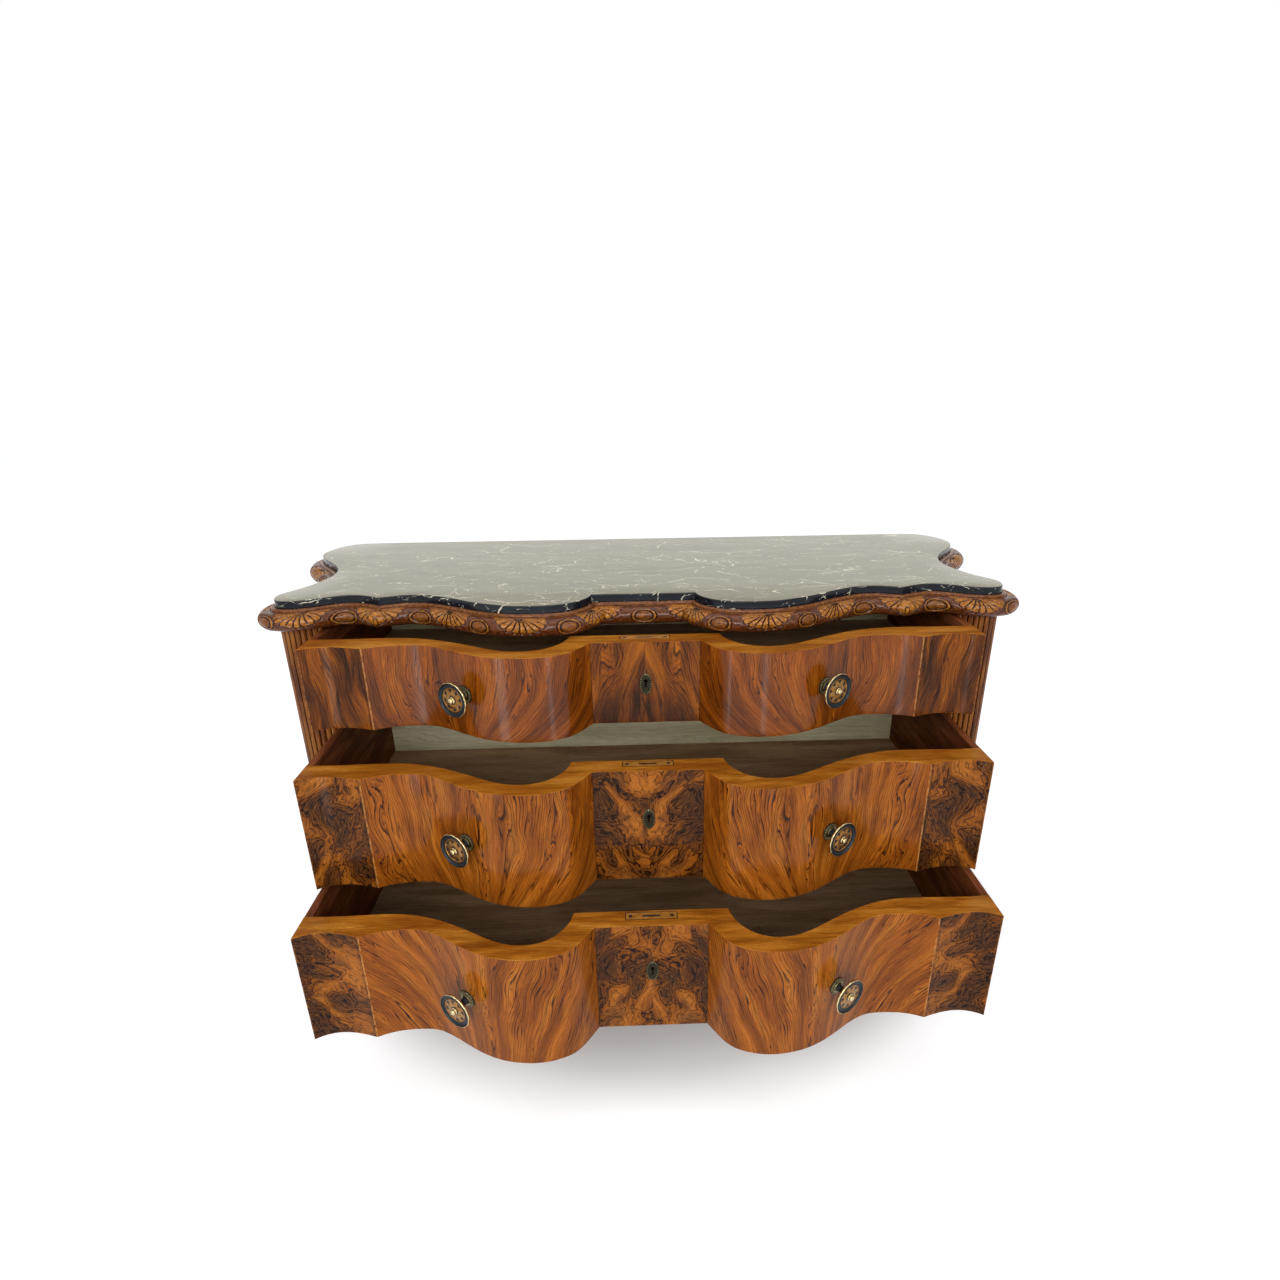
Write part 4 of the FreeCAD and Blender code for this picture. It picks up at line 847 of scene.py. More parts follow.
def topMoulding():
    gap, bead = sweep["lipGap"], sweep["beadRadius"]
    radius, reach = sweep["torusRadius"], sweep["torusReach"]
    low, seat = chest["mouldingZ"], chest["marbleZ"]
    plain, inner = sweep["plainGilt"], atDistance(gap)
    columns = [(inFrame(inner), low), (inFrame(inner), seat), (inner, seat), (inner, seat + sweep["lipFoot"])]
    for step in range(sweep["lipRows"]):
        angle = math.radians(sweep["lipStart"] - step * sweep["lipTurn"])
        out = gap + bead + bead * math.cos(angle)
        columns.append((atDistance(out), seat + sweep["lipTop"] - bead + bead * math.sin(angle)))
    along = lengths(carvedHalf)
    mirror = np.concatenate([np.arange(halfCount), np.arange(1, halfCount - 1)[::-1]])
    depths = [np.zeros(len(mirror))] * len(columns)
    gilts = [np.full(len(mirror), plain)] * len(columns)
    flatRows, torusRows = sweep["flatRows"], sweep["torusRows"]
    rows = [(math.pi / 2, sweep["flatWide"] * (1 - k / flatRows)) for k in range(flatRows)]
    rows += [(math.pi * (0.5 - k / torusRows), 0) for k in range(torusRows + 1)]
    for angle, inset in rows:
        # the carving starts on the flat behind the round and runs down its face
        down = np.full(halfCount, (math.pi / 2 - angle) * radius - inset)
        depth, gilt = carvedShape(along, down)
        behind = along > along[-sweep["rearPoints"]]
        depth[behind], gilt[behind] = 0, plain
        depth, gilt = depth[mirror], gilt[mirror]
        out = reach - inset + (radius - depth) * math.cos(angle)
        columns.append((atDistance(out), low + radius + (radius - depth) * math.sin(angle)))
        depths.append(depth)
        gilts.append(gilt)
    piece = sweptPiece("carved_moulding", columns)
    # how deep each place is cut, which the material paints dark as shade
    paint(piece, "hollow", np.clip(np.concatenate(depths) / carving["ringDepth"], 0, 1))
    paint(piece, "gilt", np.concatenate(gilts))
    return clean(piece, sharp=50)


def marbleSlab():
    low, top, soft = chest["marbleZ"], chest["marbleTop"], sweep["marbleRound"]
    edge, inner, rows = atDistance(0), inFrame(atDistance(0)), sweep["marbleRows"]
    columns = [(inner, low), (atDistance(-sweep["underBack"]), low), (edge, low + sweep["underRise"])]
    for step in range(rows):
        angle = math.radians(step * 90 / (rows - 1))
        columns.append((atDistance(-soft + soft * math.cos(angle)), top - soft + soft * math.sin(angle)))
    columns.append((inner, top))
    piece = sweptPiece("marble_slab", columns)
    half = chest["frameHalf"] * mm + 1e-6
    front = (chest["frameFront"] + chest["frontPlane"]) * mm - 1e-6
    rear = (chest["frameRear"] + chest["frontPlane"]) * mm + 1e-6

    def openMiddle(work):
        # the wall inside the frame goes, so that the two flat faces can run across
        wall = [f for f in work.faces if all(abs(v.co.x) <= half and front <= v.co.y <= rear for v in f.verts)
                and len({round(v.co.z, 5) for v in f.verts}) > 1]
        bmesh.ops.delete(work, geom=wall, context="FACES")

    def closeMiddle(work):
        bmesh.ops.holes_fill(work, edges=[e for e in work.edges if e.is_boundary], sides=0)
        bmesh.ops.recalc_face_normals(work, faces=work.faces)

    reshape(piece, openMiddle)
    clean(piece, sharp=30)
    reshape(piece, closeMiddle)
    piece.data.set_sharp_from_angle(angle=math.radians(30))
    return piece


moulding = finishWith(topMoulding(), materials["carved"])
dress(moulding, "case", "top_moulding")
slab = finishWith(marbleSlab(), materials["marble"], materials["marbleEdge"])
# upward faces take the copy with the painted reflection, the rest the dark edge
for face in slab.data.polygons:
    face.material_index = 0 if face.normal.z > 0.9 else 1
dress(slab, "case", "marble_top")
print("top made:", len(moulding.data.polygons), "carved faces")


# Drawer fronts: veneered face, golden solid wood above, behind and at the dovetails

front = {
    "wall": 49, "innerStart": 123.4, "innerDeep": 38.5, "sideWall": 12.4, "sideLift": 7, "topDrop": 0.5,
    "arris": 0.6, "row": 4, "column": 3, "middleColumns": 30,
    "tailLength": 30, "tailPitch": 46, "rootShare": 0.27, "tipShare": 0.36, "fitGap": 0.08,
    "lockHalf": 40, "lockDepth": 15, "lockSet": 15.2, "lockPlate": 2.5, "plateGap": 1.3,
    "keyRadius": 3.2, "keySlotHalf": 1.5, "keySlotDrop": 11, "keySteps": 24, "keyDeep": 26,
    # how far the cutters stand clear of the face and of the top edge
    "clearFace": 3, "clearTop": 2,
}
# how the stripes of each bulge run together at its foot, and how the flat leaves beside it lean
feathers = {
    "upper": {"place": 0.235, "outerPull": 0.03, "innerPull": 0.085, "wide": 0.05, "power": 2.8,
              "middleLean": -0.24, "endLean": 0.1},
    "middle": {"place": 0.205, "outerPull": 0.035, "innerPull": 0.075, "wide": 0.05, "power": 2.6,
               "middleLean": 0.6, "endLean": -0.35},
    "lower": {"place": 0.2, "outerPull": 0.14, "innerPull": 0.09, "wide": 0.07, "power": 1.1,
              "middleLean": -0.6, "endLean": 0.9},
}
# material slots of a front
bulgeSlot, burlSlot, streakSlot, edgeSlot, liningSlot = range(5)
innerHalf = chest["frontHalf"] - front["sideWall"]
tailEnd = front["wall"] - front["tailLength"]


def flow(drawer, panel, u, v, side):
    # the leaf's own coordinates: X across the grain, Y along it, in metres
    feather, seed = feathers[drawer], drawers[drawer]["seed"]
    tall = drawers[drawer]["tall"] * mm
    if panel == "bulge":
        # grain stands upright above, sways by a few millimetres and runs together at the foot of the bulge
        spreading = np.tanh((u - feather["place"]) / feather["wide"])
        pull = np.where(spreading > 0, feather["outerPull"], feather["innerPull"]) * spreading
        wave = 0.003 * np.sin(v * 31 + u * 24 + seed) + 0.0015 * np.sin(v * 67 - u * 40)
        across = u + pull * ((tall - v) / tall) ** feather["power"] + wave
        shift = 0.007 * side
    else:
        # flat leaves are laid at an angle and matched on the middle line
        lean = feather["endLean"] if panel == "end" else feather["middleLean"]
        across = u * math.cos(lean) - v * math.sin(lean) + 0.004 * np.sin(v * 50 + u * 60)
        v = v * math.cos(lean) + u * math.sin(lean)
        shift = (0.2 if panel == "end" else 0.5) + 0.006 * side
    return np.column_stack([across + seed * 0.37 + shift, v + seed * 0.91 + shift])


def addFace(shell, points, slot, figure=None):
    start = len(shell["vertices"])
    shell["vertices"] += points
    shell["faces"].append(tuple(range(start, start + len(points))))
    shell["slots"].append(slot)
    shell["figure"] += figure if figure is not None else [(0, 0)] * len(points)


def faceLevels(drawer):
    # heights of the rows of small faces, with a tiny arris above and below
    tall, arris = drawers[drawer]["tall"], front["arris"]
    rows = int(round(tall / front["row"]))
    return np.concatenate([[0], np.linspace(arris, tall - arris, rows + 1), [tall]])


def veneeredPanel(shell, drawer, panel, line, side, slot):
    # one panel of the face as a grid of small faces
    levels = faceLevels(drawer)
    run = lengths(line)
    if side < 0:
        run = run[::-1]
    last = len(levels) - 1
    grid, figures = [], []
    for row, z in enumerate(levels):
        back = front["arris"] if row in (0, last) else 0
        grid.append([(x, y + back, z) for x, y in line])
        figures.append([tuple(p) for p in flow(drawer, panel, run * mm, np.full(len(run), z * mm), side)])
    for r in range(last):
        for c in range(len(line) - 1):
            corners = ((r, c), (r, c + 1), (r + 1, c + 1), (r + 1, c))
            addFace(shell, [grid[a][b] for a, b in corners], edgeSlot if r in (0, last - 1) else slot,
                    [figures[a][b] for a, b in corners])


def backDepth(x):
    # the front's inner face, y for a distance from the middle
    start, deep, wall = front["innerStart"], front["innerDeep"], front["wall"]
    points = spread(innerShares, (start, innerHalf - start), (wall, -chest["bulgeReach"]))
    line = smoothLine([(start, deep)] + points)
    return np.where(np.abs(x) <= start, deep, np.interp(np.abs(x), line[:, 0], line[:, 1]))


def thinned(line):
    return evenly(line, int(lengths(line)[-1] / front["column"]) + 2)


def drawerFront(drawer):
    tall, arris = drawers[drawer]["tall"], front["arris"]
    groove, columns = chest["grooveHalf"], front["middleColumns"]
    bulge, end = thinned(bulgeLine()), thinned(endPanelLine())
    # a point where the inner face of the side meets the end panel
    at = int(np.searchsorted(end[:, 0], innerHalf))
    end = np.insert(end, at, [innerHalf, np.interp(innerHalf, end[:, 0], end[:, 1])], axis=0)
    middle = np.column_stack([np.linspace(-groove, groove, 2 * columns + 1),
                              np.full(2 * columns + 1, chest["middleSet"])])
    shell = {"vertices": [], "faces": [], "slots": [], "figure": []}
    flatLeaf = streakSlot if drawer == "upper" else burlSlot
    veneeredPanel(shell, drawer, "middle", middle[columns:], 1, flatLeaf)
    veneeredPanel(shell, drawer, "middle", middle[:columns + 1], -1, flatLeaf)
    for side in (1, -1):
        veneeredPanel(shell, drawer, "bulge", (bulge * (side, 1))[::side], side, bulgeSlot)
        veneeredPanel(shell, drawer, "end", (end * (side, 1))[::side], side, flatLeaf)
    half = np.concatenate([middle[columns:], bulge[1:], end[1:]])
    whole = np.concatenate([half[::-1][:-1] * (-1, 1), half])
    body = whole[np.abs(whole[:, 0]) <= innerHalf + 1e-6]
    depth = backDepth(body[:, 0])
    last = len(body) - 2
    for z in (0, tall):
        # the flat above or below, between the sides and over their ends
        for i in range(len(body) - 1):
            (xa, ya), (xb, yb) = body[i], body[i + 1]
            ring = [(xa, ya + arris, z), (xb, yb + arris, z)]
            ring += [(xb, tailEnd, z)] if i == last else []
            ring += [(xb, depth[i + 1], z), (xa, depth[i], z)]
            ring += [(xa, tailEnd, z)] if i == 0 else []
            addFace(shell, ring, edgeSlot)
        for side in (1, -1):
            tip = end[at:] * (side, 1)
            for (xa, ya), (xb, yb) in zip(tip, tip[1:]):
                addFace(shell, [(xa, ya + arris, z), (xb, yb + arris, z), (xb, tailEnd, z), (xa, tailEnd, z)],
                        edgeSlot)
    for i in range(len(body) - 1):
        a, b = (body[i][0], depth[i]), (body[i + 1][0], depth[i + 1])
        addFace(shell, upWall(a, b, tall), liningSlot)
    levels = faceLevels(drawer)
    for side in (1, -1):
        outer, inner = chest["frontHalf"] * side, innerHalf * side
        edge = [(outer, arris if z in (0, tall) else 0, z) for z in levels]
        addFace(shell, edge + [(outer, tailEnd, tall), (outer, tailEnd, 0)], edgeSlot)
        addFace(shell, upWall((inner, tailEnd), (outer, tailEnd), tall), edgeSlot)
        addFace(shell, upWall((inner, tailEnd), (inner, front["wall"]), tall), edgeSlot)
    piece = makeObject(drawer + "_front_veneered", shell["vertices"], shell["faces"])
    # the upper drawer's bulges take the copy painted darker as shade
    bulgeLeaf = "upperBulge" if drawer == "upper" else "bulge"
    finishWith(piece, *(materials[k] for k in (bulgeLeaf, "burl", "streak", "edge", "lining")))
    piece.data.polygons.foreach_set("material_index", shell["slots"])
    layer = piece.data.uv_layers.new(name="figure")
    layer.data.foreach_set("uv", np.array(shell["figure"], np.float32).ravel())
    clean(piece, sharp=40)
    pins = dovetailPins(drawer)
    cutAway(piece, fittingCutters(drawer))
    return standOpen(joined(piece.name, [piece, pins]), drawer)


def upWall(a, b, tall):
    # an upright rectangle over the line from a to b
    return [(*a, 0), (*b, 0), (*b, tall), (*a, tall)]


def dovetailPins(drawer):
    # what stands between the tails of the sides, at both ends of the front
    tall, low = drawers[drawer]["tall"], front["sideLift"]
    run = tall - low - front["topDrop"]
    count = max(2, round(run / front["tailPitch"]))
    pitch = run / count
    root, tip = front["rootShare"] * pitch, front["tipShare"] * pitch
    middles = [low + (i + 0.5) * pitch for i in range(count)]
    gap = front["fitGap"]
    spans = [((0, middles[0] - root), (0, middles[0] - tip))]
    spans += [((a + root, b - root), (a + tip, b - tip)) for a, b in zip(middles, middles[1:])]
    spans.append(((middles[-1] + root, tall), (middles[-1] + tip, tall)))
    near, far = tailEnd - gap, front["wall"]
    vertices, faces = [], []
    for side in (1, -1):
        for rootSpan, tipSpan in spans:
            corners, block = blockParts((innerHalf * side, near, 0), (chest["frontHalf"] * side, far, 1))
            faces += [tuple(len(vertices) + k for k in f) for f in block]
            for x, y, z in corners:
                lowEdge, highEdge = tipSpan if y == near else rootSpan
                if z:
                    z = highEdge - (gap if highEdge < tall else 0)
                else:
                    z = lowEdge + (gap if lowEdge > 0 else 0)
                vertices.append((x, y, z))
    return finishWith(clean(makeObject(drawer + "_pins", vertices, faces)), materials["edge"])


def fittingCutters(drawer):
    # recesses for the lock's plate in the top edge, and for the key
    tall, middleSet = drawers[drawer]["tall"], chest["middleSet"]
    keyUp = tall - drawers[drawer]["key"]
    near, half, gap = middleSet + front["lockSet"], front["lockHalf"], front["plateGap"]
    plate = blockParts((-half - gap, near - gap, tall - front["lockPlate"] - gap),
                       (half + gap, near + front["lockDepth"] + gap, tall + front["clearTop"]))
    ring = keyholeRing(0.0)
    ends = (-front["clearFace"], middleSet + front["keyDeep"])
    hole = [(x, y, z + keyUp) for y in ends for x, z in ring]
    cutters = [makeObject(drawer + "_plate_cutter", *plate),
               makeObject(drawer + "_key_cutter", hole, prismFaces(len(ring)))]
    # the cutters' near-black finish stays on the recesses' walls as painted shade
    return [finishWith(clean(cutter), materials["bore"]) for cutter in cutters]


def keyholeRing(grow):
    # outline of the keyhole about the middle of its round part
    radius, half = front["keyRadius"] + grow, front["keySlotHalf"] + grow
    drop, steps = front["keySlotDrop"] + grow, front["keySteps"]
    start = math.asin(half / radius)
    points = [(half, -drop)]
    for step in range(steps + 1):
        angle = -math.pi / 2 + start + (2 * math.pi - 2 * start) * step / steps
        points.append((radius * math.cos(angle), radius * math.sin(angle)))
    return points + [(-half, -drop)]


def cutAway(piece, cutters):
    for cutter in cutters:
        trim = piece.modifiers.new("recess", "BOOLEAN")
        trim.object = cutter
        trim.operation = "DIFFERENCE"
        trim.solver = "EXACT"
        trim.material_mode = "TRANSFER"
        settled(piece, trim)
        bpy.data.objects.remove(cutter)
    piece.data.set_sharp_from_angle(angle=math.radians(40))


def standOpen(piece, drawer):
    # from the drawer's own corner to where the open drawer stands
    y = chest["frontPlane"] - drawers[drawer]["open"]
    piece.data.transform(Matrix.Translation(Vector((0, y, drawers[drawer]["z"])) * mm))
    return piece


for drawer in drawers:
    piece = drawerFront(drawer)
    dress(piece, drawer + "_drawer", drawer + "_drawer_front")
    print("front made:", drawer, len(piece.data.polygons), "faces")


# Knobs, rosette plates and escutcheons

knob = {
    "half": 288, "heightShare": 0.51, "radius": 29.5, "steps": 120, "spacing": 0.55,
    "rimStart": 22, "lobes": 12, "lobeShare": 0.025,
    "leafStart": 6, "leafEnd": 18.4, "leafAbove": 20, "leafLift": 0.5, "leafLevel": 0.6,
    "petals": 8, "petalStart": 6.8, "petalFlare": 12,
}
knobProfile = [
    (0, -20), (3, -20), (3, 3.2), (7.0, 3.2), (7.1, 4.0), (5.8, 5.2), (5.3, 7.2), (5.0, 9.5), (5.3, 12),
    (7.2, 14), (11.5, 16.4), (17, 19.4), (23, 22.4), (27.4, 24.2), (29.2, 25.6), (29.5, 27.0), (29.2, 28.2),
    (28.2, 28.5), (27.3, 28.0), (26.6, 26.9), (25.4, 26.1), (23.2, 25.8), (21.2, 26.0), (20.4, 26.6),
    (19.8, 27.0), (19.0, 26.6), (17.5, 26.2), (13, 26.6), (9, 27.0), (6.4, 27.2), (5.4, 27.8), (4.8, 28.0),
    (4.0, 28.2), (3.9, 29.2), (4.4, 30.2), (4.5, 31.2), (4.0, 32.3), (2.6, 32.9), (0.9, 33), (0, 33),
]
knobWear = [
    # past this radius, above this height, how bright on a petal and elsewhere
    (28.3, 24.5, 1.0, 1.0), (20.5, 25, 0.1, 0.1), (18.6, 25, 0.5, 0.5), (5.5, 25, 0.55, 0.08),
    (-1, 27, 0.9, 0.9), (-1, -100, 0.12, 0.12),
]
rosette = {
    "steps": 96, "petals": 8, "petalLift": 0.5, "petalStart": 7, "petalEnd": 11.5, "petalSeat": 1.5,
    "beads": 22, "beadRadius": 1.35, "beadRing": 12.6, "beadSeat": 1.3, "wearFrom": -0.2, "wearRise": 3.0,
}
rosetteProfile = [
    (3.3, -0.8), (14.6, -0.8), (15, -0.3), (15, 0.6), (14.6, 1.1), (13.9, 1.2), (11.4, 1.3),
    (11.0, 1.9), (9, 2.5), (7.4, 2.5), (7.2, 3.2), (3.3, 3.2), (3.3, -0.8),
]
escutcheonSizes = {"half": 10.2, "rise": 19, "wall": 1.8, "steps": 96, "keyEase": 0.25,
                   "rim": 0.84, "mills": 24, "pinOut": 15.6, "millWear": (0.75, 0.05), "domeWear": 0.25}
# from the keyhole to the rim: how far out, how thick as a share of the wall
escutcheonDome = [
    (0.0, 0.0), (0.0, 0.9), (0.08, 1.0), (0.35, 0.95), (0.65, 0.86), (0.86, 0.9), (0.94, 0.82), (1.0, 0.35),
    (1.0, 0.0),
]
pinProfile = [(0, 0.2), (1.5, 0.2), (1.4, 0.7), (0.8, 1.1), (0, 1.2)]


def growTree(name, sockets):
    # a geometry tree with its named inputs, and the way to add nodes to it
    tree = bpy.data.node_groups.new(name, "GeometryNodeTree")
    tree.interface.new_socket("Geometry", in_out="INPUT", socket_type="NodeSocketGeometry")
    for label, kind in sockets.items():
        tree.interface.new_socket(label, in_out="INPUT", socket_type="NodeSocket" + kind)
    tree.interface.new_socket("Geometry", in_out="OUTPUT", socket_type="NodeSocketGeometry")
    add = partial(addNode, tree)
    return tree, add, add("NodeGroupInput", out=None)


def endTree(add, geometry, material):
    real = add("GeometryNodeRealizeInstances", geometry)
    add("NodeGroupOutput", add("GeometryNodeSetMaterial", {"Geometry": real, "Material": material}))


def grown(name, tree, values, base=None):
    # the tree's result for these values, as a plain mesh
    carrier = addObject(name, base or bpy.data.meshes.new(name))
    modifier = carrier.modifiers.new("grow", "NODES")
    modifier.node_group = tree
    for item in tree.interface.items_tree:
        if item.in_out == "INPUT" and item.name in values:
            modifier[item.identifier] = values[item.name]
    return settled(carrier, modifier)


def beadRingTree():
    # beads set round a circle about Z
    tree, add, given = growTree("ringOfBeads", {
        "Ring Radius": "Float", "Beads": "Int", "Bead Radius": "Float", "Height": "Float",
        "Material": "Material"})
    circle = add("GeometryNodeMeshCircle", {"Vertices": given["Beads"], "Radius": given["Ring Radius"]})
    bead = add("GeometryNodeMeshUVSphere", {"Segments": 10, "Rings": 6, "Radius": given["Bead Radius"]})
    smooth = add("GeometryNodeSetShadeSmooth", bead)
    ring = add("GeometryNodeInstanceOnPoints", {"Points": circle, "Instance": smooth})
    up = add("CombineXYZ", {"Z": given["Height"]})
    endTree(add, add("GeometryNodeTransform", {"Geometry": ring, "Translation": up}), given["Material"])
    return tree


beadRing = beadRingTree()


def isPetal(radius, angle):
    # petals round the boss, with dark wedges between their tips
    out = max(0, (radius - knob["petalFlare"]) / (knob["leafEnd"] - knob["petalFlare"]))
    return math.cos(knob["petals"] * angle) > -1.1 + 1.3 * out and radius > knob["petalStart"]


def castKnob(name):
    # cast knob: scalloped rim, low leaves round the boss
    rim, start, end = knob["rimStart"], knob["leafStart"], knob["leafEnd"]

    def shape(radius, height, angle):
        if radius > rim:
            share = (radius - rim) / (knob["radius"] - rim)
            lobe = (0.5 - 0.5 * math.cos(knob["lobes"] * angle)) ** 3
            radius -= knob["radius"] * knob["lobeShare"] * share * lobe
        elif start < radius < end and height > knob["leafAbove"]:
            wave = math.sin((radius - start) / (end - start) * math.pi)
            height += knob["leafLift"] * (isPetal(radius, angle) - knob["leafLevel"]) * wave
        return radius, height

    line = [(max(r, 0), h) for r, h in smoothLine(knobProfile, knob["spacing"])]
    piece = clean(turnedPiece(name, line, knob["steps"], shape), sharp=60)
    worn = []
    for x, y, z in (vertex.co / mm for vertex in piece.data.vertices):
        radius = math.hypot(x, y)
        onPetal, elsewhere = next(row[2:] for row in knobWear if radius > row[0] and z > row[1])
        worn.append(onPetal if isPetal(radius, math.atan2(y, x)) else elsewhere)
    paint(piece, "worn", worn)
    return finishWith(piece, materials["bronze"])


def rosettePlate(name):
    # pressed back plate: raised petals inside a ring of beads
    def shape(radius, height, angle):
        if rosette["petalStart"] < radius < rosette["petalEnd"] and height > rosette["petalSeat"]:
            height += rosette["petalLift"] * abs(math.cos(rosette["petals"] * angle))
        return radius, height

    piece = clean(turnedPiece(name, rosetteProfile, rosette["steps"], shape), sharp=40)
    beads = grown(name + "_beads", beadRing, {
        "Ring Radius": rosette["beadRing"] * mm, "Bead Radius": rosette["beadRadius"] * mm,
        "Beads": rosette["beads"], "Height": rosette["beadSeat"] * mm, "Material": materials["plate"]})
    piece = joined(name, [finishWith(piece, materials["plate"]), beads])
    rubbed = [(v.co.z / mm - rosette["wearFrom"]) / rosette["wearRise"] for v in piece.data.vertices]
    paint(piece, "worn", np.clip(rubbed, 0, 1))
    return piece


def seated(piece, spot, out):
    # a piece made about Z, stood on a spot in millimetres and turned to look out
    turn = Vector((0, 0, 1)).rotation_difference(Vector(out)).to_matrix().to_4x4()
    piece.data.transform(Matrix.Translation(Vector(spot) * mm) @ turn)
    return piece


def seatKnob(piece, drawer, side):
    # onto the curved face, square to it
    line = bulgeLine()
    at = int(np.argmax(line[:, 0] >= knob["half"]))
    runX, runY = line[at + 1] - line[at - 1]
    spot = (line[at][0] * side, line[at][1], drawers[drawer]["tall"] * knob["heightShare"])
    return standOpen(seated(piece, spot, Vector((runY * side, -runX, 0)).normalized()), drawer)


def escutcheon(drawer):
    # domed oval plate with the keyhole through it and a pin at its top and bottom
    sizes = escutcheonSizes
    up = drawers[drawer]["tall"] - drawers[drawer]["key"]
    low, count = -front["keySlotDrop"] / 2, sizes["steps"]
    corners = keyholeRing(sizes["keyEase"])
    hole = evenly(np.array(corners + corners[:1]), count + 1)[:-1]
    vertices = []
    for share, thick in escutcheonDome:
        y = chest["middleSet"] - sizes["wall"] * thick
        for k, (x, z) in enumerate(hole):
            angle = -math.pi / 2 + 2 * math.pi * (k + 0.5) / count
            outer = (sizes["half"] * math.cos(angle), low + sizes["rise"] * math.sin(angle))
            vertices.append((x + (outer[0] - x) * share, y, z + (outer[1] - z) * share + up))
    faces = gridFaces(len(escutcheonDome), count, ring=True)
    piece = makeObject(drawer + "_escutcheon_plate", vertices, faces)
    pieces = [finishWith(clean(piece, sharp=50), materials["plate"])]
    for z in (low + sizes["pinOut"], low - sizes["pinOut"]):
        pin = turnedPiece(drawer + "_pin", pinProfile, 16)
        seated(pin, (0, chest["middleSet"] - sizes["wall"] * 0.5, z + up), (0, -1, 0))
        pieces.append(finishWith(clean(pin), materials["plate"]))
    piece = joined(piece.name, pieces)
    worn = []
    onRidge, inGroove = sizes["millWear"]
    for vertex in piece.data.vertices:
        x, z = vertex.co.x / mm / sizes["half"], (vertex.co.z / mm - up - low) / sizes["rise"]
        milled = onRidge if math.cos(sizes["mills"] * math.atan2(z, x)) > 0 else inGroove
        worn.append(milled if math.hypot(x, z) > sizes["rim"] else sizes["domeWear"])
    paint(piece, "worn", worn)
    return standOpen(piece, drawer)


for drawer in drawers:
    body = drawer + "_drawer"
    knobs = [seatKnob(castKnob(f"{drawer}_knob_{side}"), drawer, side) for side in (-1, 1)]
    dress(joined(drawer + "_knob_pair", knobs), body, body + "_knobs")
    plates = [seatKnob(rosettePlate(f"{drawer}_rosette_{side}"), drawer, side) for side in (-1, 1)]
    dress(joined(drawer + "_rosettes", plates), body, body + "_knob_plates")
    dress(escutcheon(drawer), body, body + "_escutcheon")
print("fittings made")


# Reeded corner posts

reeds = {"start": 553.2, "overhang": 2, "pitch": 9.2, "rise": 3.2, "facets": 20}


def reedTree():
    # upright round rods in a row along a line
    tree, add, given = growTree("rowOfReeds", {
        "Count": "Int", "Half Width": "Float", "Rise": "Float", "Height": "Float", "Material": "Material"})
    line = add("GeometryNodeMeshToCurve", {"Mesh": given["Geometry"]})
    spots = add("GeometryNodeCurveToPoints", {"Curve": line, "Count": given["Count"]}, out=None, mode="COUNT")
    shape = {"Vertices": reeds["facets"], "Radius": 1.0, "Depth": given["Height"]}
    rod = add("GeometryNodeMeshCylinder", shape)
    # beside the reed's middle line the groove is deep, and its colour is painted dark there as shade
    beside = add("ABSOLUTE", add("SeparateXYZ", add("GeometryNodeInputPosition")))
    groove = add("POWER", beside, 3.0)
    rod = add("GeometryNodeStoreNamedAttribute", {"Geometry": rod, "Name": "hollow", "Value": groove},
              data_type="FLOAT", domain="POINT")
    size = add("CombineXYZ", given["Half Width"], given["Rise"], 1.0)
    turn = add("FunctionNodeAlignEulerToVector", {"Vector": spots["Tangent"]}, axis="X", pivot_axis="Z")
    row = add("GeometryNodeInstanceOnPoints", {
        "Points": spots["Points"], "Instance": rod, "Rotation": turn, "Scale": size})
    endTree(add, row, given["Material"])
    return tree


rowOfReeds = reedTree()


def reededPost(side, word):
    start, deep = reeds["start"], chest["postDepth"]
    low, high = chest["baseTop"], chest["mouldingZ"]
    wide = chest["frontHalf"] + chest["postWidth"] - reeds["overhang"] - start
    curve = smoothLine(spread(postShares, (start, wide), (0, deep)), 0.5)
    count = round(lengths(curve)[-1] / reeds["pitch"])
    joints = evenly(curve, count + 1)
    ring = [*joints, (joints[-1][0], deep), (start, deep)]
    vertices = [(x * side, y + chest["frontPlane"], z) for z in (low, high) for x, y in ring]
    core = clean(makeObject(f"post_core_{side}", vertices, prismFaces(len(ring))))
    finishWith(core, materials["post"])
    path = bpy.data.meshes.new("reed_path")
    middles = (joints[:-1] + joints[1:]) / 2
    spots = [(x * side * mm, (y + chest["frontPlane"]) * mm, (low + high) / 2 * mm) for x, y in middles]
    path.from_pydata(spots, [(k, k + 1) for k in range(count - 1)], [])
    row = grown(f"reeds_{side}", rowOfReeds, {
        "Count": count, "Half Width": lengths(joints)[1] * 0.5 * mm, "Rise": reeds["rise"] * mm,
        "Height": (high - low) * mm, "Material": materials["post"]}, path)
    finishWith(clean(row, sharp=40), materials["post"])
    return joined("reeded_post_" + word, [core, row])


for side, word in ((1, "right"), (-1, "left")):
    dress(reededPost(side, word), "case", "front_post_" + word)
print("posts made")


# The CAD pieces that stay take their finish here, the first whose word is in their name

finishes = {
    "drawer_side": "side", "drawer_back": "softwood", "drawer_floor": "floorBoard",
    "drawer_lock_screws": "iron", "drawer_lock_bolt": "iron", "drawer_lock": "lock",
    "drawer_knob_nuts": "brass", "side_panel": "walnut", "rear_post": "walnut", "rail_upper": "walnut",
    "rail_lower": "edge", "rail_bottom": "walnut", "base_moulding": "base", "foot": "base",
    "back_panel": "backBoards", "top_board": "softwood", "dust_board": "softwood",
    "bottom_board": "softwood", "drawer_runners": "softwood", "drawer_guides": "softwood",
    "drawer_stops": "softwood",
}
for name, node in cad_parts.items():
    for word, finish in finishes.items():
        if word in name:
            finishWith(node, materials[finish])
            break


# Floor, light and camera

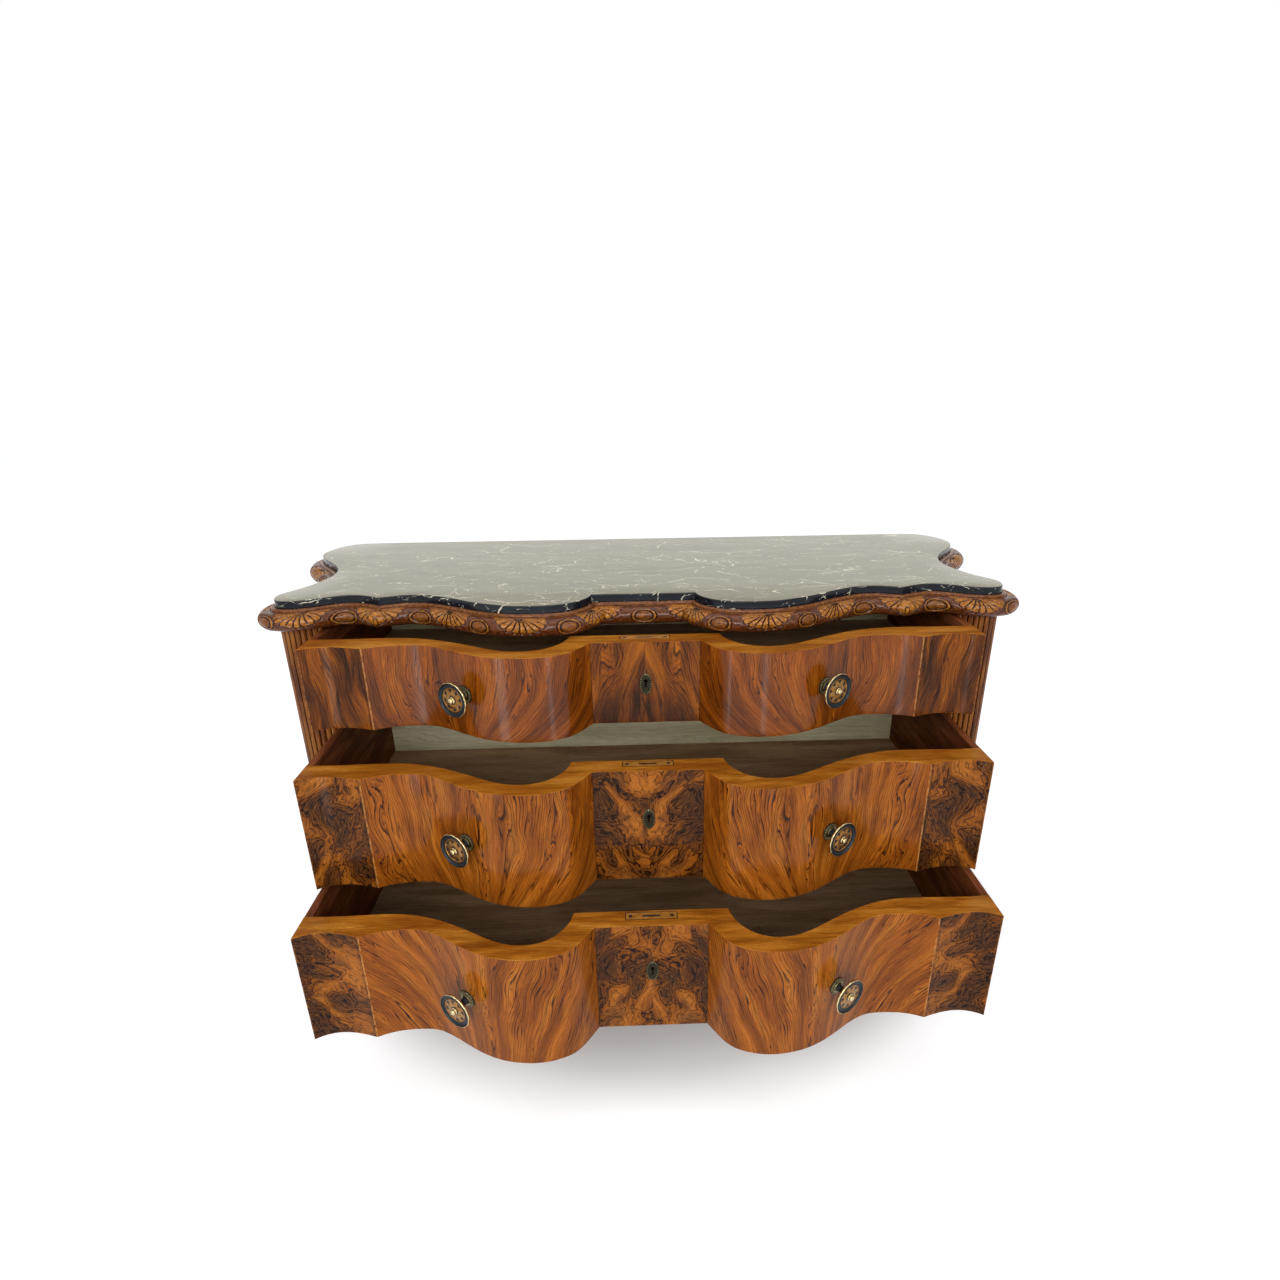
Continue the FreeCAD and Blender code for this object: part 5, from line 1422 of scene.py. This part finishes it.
studio = {
    "floorSide": 30000, "floorColour": "#e9e9e9", "worldColour": "#f6f8ff", "ambient": 0.5,
    # in metres from the middle of the floor, with the strength at each share of that reach
    "glowReach": 2.5,
    "glow": [(0.09, 0.0), (0.11, 0.06), (0.15, 0.39), (0.26, 0.47), (0.5, 0.5), (1.0, 0.62)],
}
lamps = {
    # spot, aim, size, power
    "keyLight": ((-1.7, -2.6, 2.5), (0, -0.1, 0.5), (1.6, 1.6), 30),
    "fillLight": ((1.9, -2.5, 2.2), (0, -0.1, 0.5), (1.4, 1.8), 20),
    "frontLight": ((0, -3.0, 1.85), (0, 0, 0.6), (2.0, 1.0), 46),
    "topLight": ((0, 0.0, 3.2), (0, 0, 0.4), (2.6, 2.0), 22),
    # narrow and near the floor, seen only as upright glints in the polish
    "leftGlint": ((-0.82, -1.03, 0.3), (-0.3, -0.2, 0.7), (0.2, 0.45), 1.0),
    "rightGlint": ((0.33, -1.2, 0.3), (0.2, -0.2, 0.7), (0.12, 0.45), 0.55),
}
view = {
    "spot": (-0.0166, -1.2284, 1.1766), "yaw": 1.63, "pitch": 21.07, "roll": -0.71,
    "lens": 20.106, "sensor": 36, "shift": (-0.0110, 0.0138), "clip": (0.05, 60),
}
white = (1, 1, 1, 1)


def seenRays(add):
    # 1 for what the camera sees, also in a mirror or through glass, 0 for what only lights
    path = add("LightPath", out=None)
    shiny = add("MAXIMUM", path["Is Glossy Ray"], path["Is Transmission Ray"])
    return add("MAXIMUM", path["Is Camera Ray"], shiny)


def paleFloor():
    # the glow grows away from the chest, so the far floor is white and the near floor keeps the shadow; the
    # little glow near the chest also paints a darker shade round it
    material, add = newMaterial("paleFloor")
    flat = add("VectorMath", add("TexCoord", out="Object"), (0.6, 1, 1), operation="MULTIPLY")
    away = add("VectorMath", flat, out="Value", operation="LENGTH")
    glow = add("ValToRGB", add("DIVIDE", away, studio["glowReach"]), stops=studio["glow"])
    strength = add("MULTIPLY", seenRays(add), glow)
    surface = add("BsdfDiffuse", {"Color": linear(studio["floorColour"])})
    add("OutputMaterial", add("AddShader", surface, add("Emission", {"Color": white, "Strength": strength})))
    half = studio["floorSide"] / 2
    corners = [(-half, -half, 0), (half, -half, 0), (half, half, 0), (-half, half, 0)]
    finishWith(makeObject("pale_floor", corners, [(0, 1, 2, 3)]), material)


def studioWorld():
    world = bpy.data.worlds.new("studioWorld")
    bpy.context.scene.world = world
    world.use_nodes = True
    world.node_tree.nodes.clear()
    add = partial(addNode, world.node_tree)
    soft = add("Background", {"Color": linear(studio["worldColour"]), "Strength": studio["ambient"]})
    bright = add("Background", {"Color": white, "Strength": 1.0})
    add("OutputWorld", add("MixShader", seenRays(add), soft, bright))


def softBox(name, spot, aim, size, power):
    light = bpy.data.lights.new(name, "AREA")
    light.shape = "RECTANGLE"
    light.size, light.size_y = size
    light.energy = power
    turn = (Vector(aim) - Vector(spot)).to_track_quat("-Z", "Y").to_matrix().to_4x4()
    addObject(name, light).matrix_world = Matrix.Translation(spot) @ turn


def photoCamera():
    yaw, pitch, roll = (math.radians(view[k]) for k in ("yaw", "pitch", "roll"))
    flat = math.cos(pitch)
    forward = Vector((math.sin(yaw) * flat, math.cos(yaw) * flat, -math.sin(pitch)))
    level = Vector((math.cos(yaw), -math.sin(yaw), 0))
    up = level.cross(forward)
    right = level * math.cos(roll) + up * math.sin(roll)
    head = up * math.cos(roll) - level * math.sin(roll)
    data = bpy.data.cameras.new("photoCamera")
    data.sensor_width = view["sensor"]
    data.lens = view["lens"]
    data.shift_x, data.shift_y = view["shift"]
    data.clip_start, data.clip_end = view["clip"]
    camera = addObject("photoCamera", data)
    turn = Matrix((right, head, -forward)).transposed().to_4x4()
    camera.matrix_world = Matrix.Translation(view["spot"]) @ turn
    bpy.context.scene.camera = camera


paleFloor()
studioWorld()
for name, lamp in lamps.items():
    softBox(name, *lamp)
photoCamera()
bpy.context.scene.view_settings.view_transform = "Standard"
print("stage set")
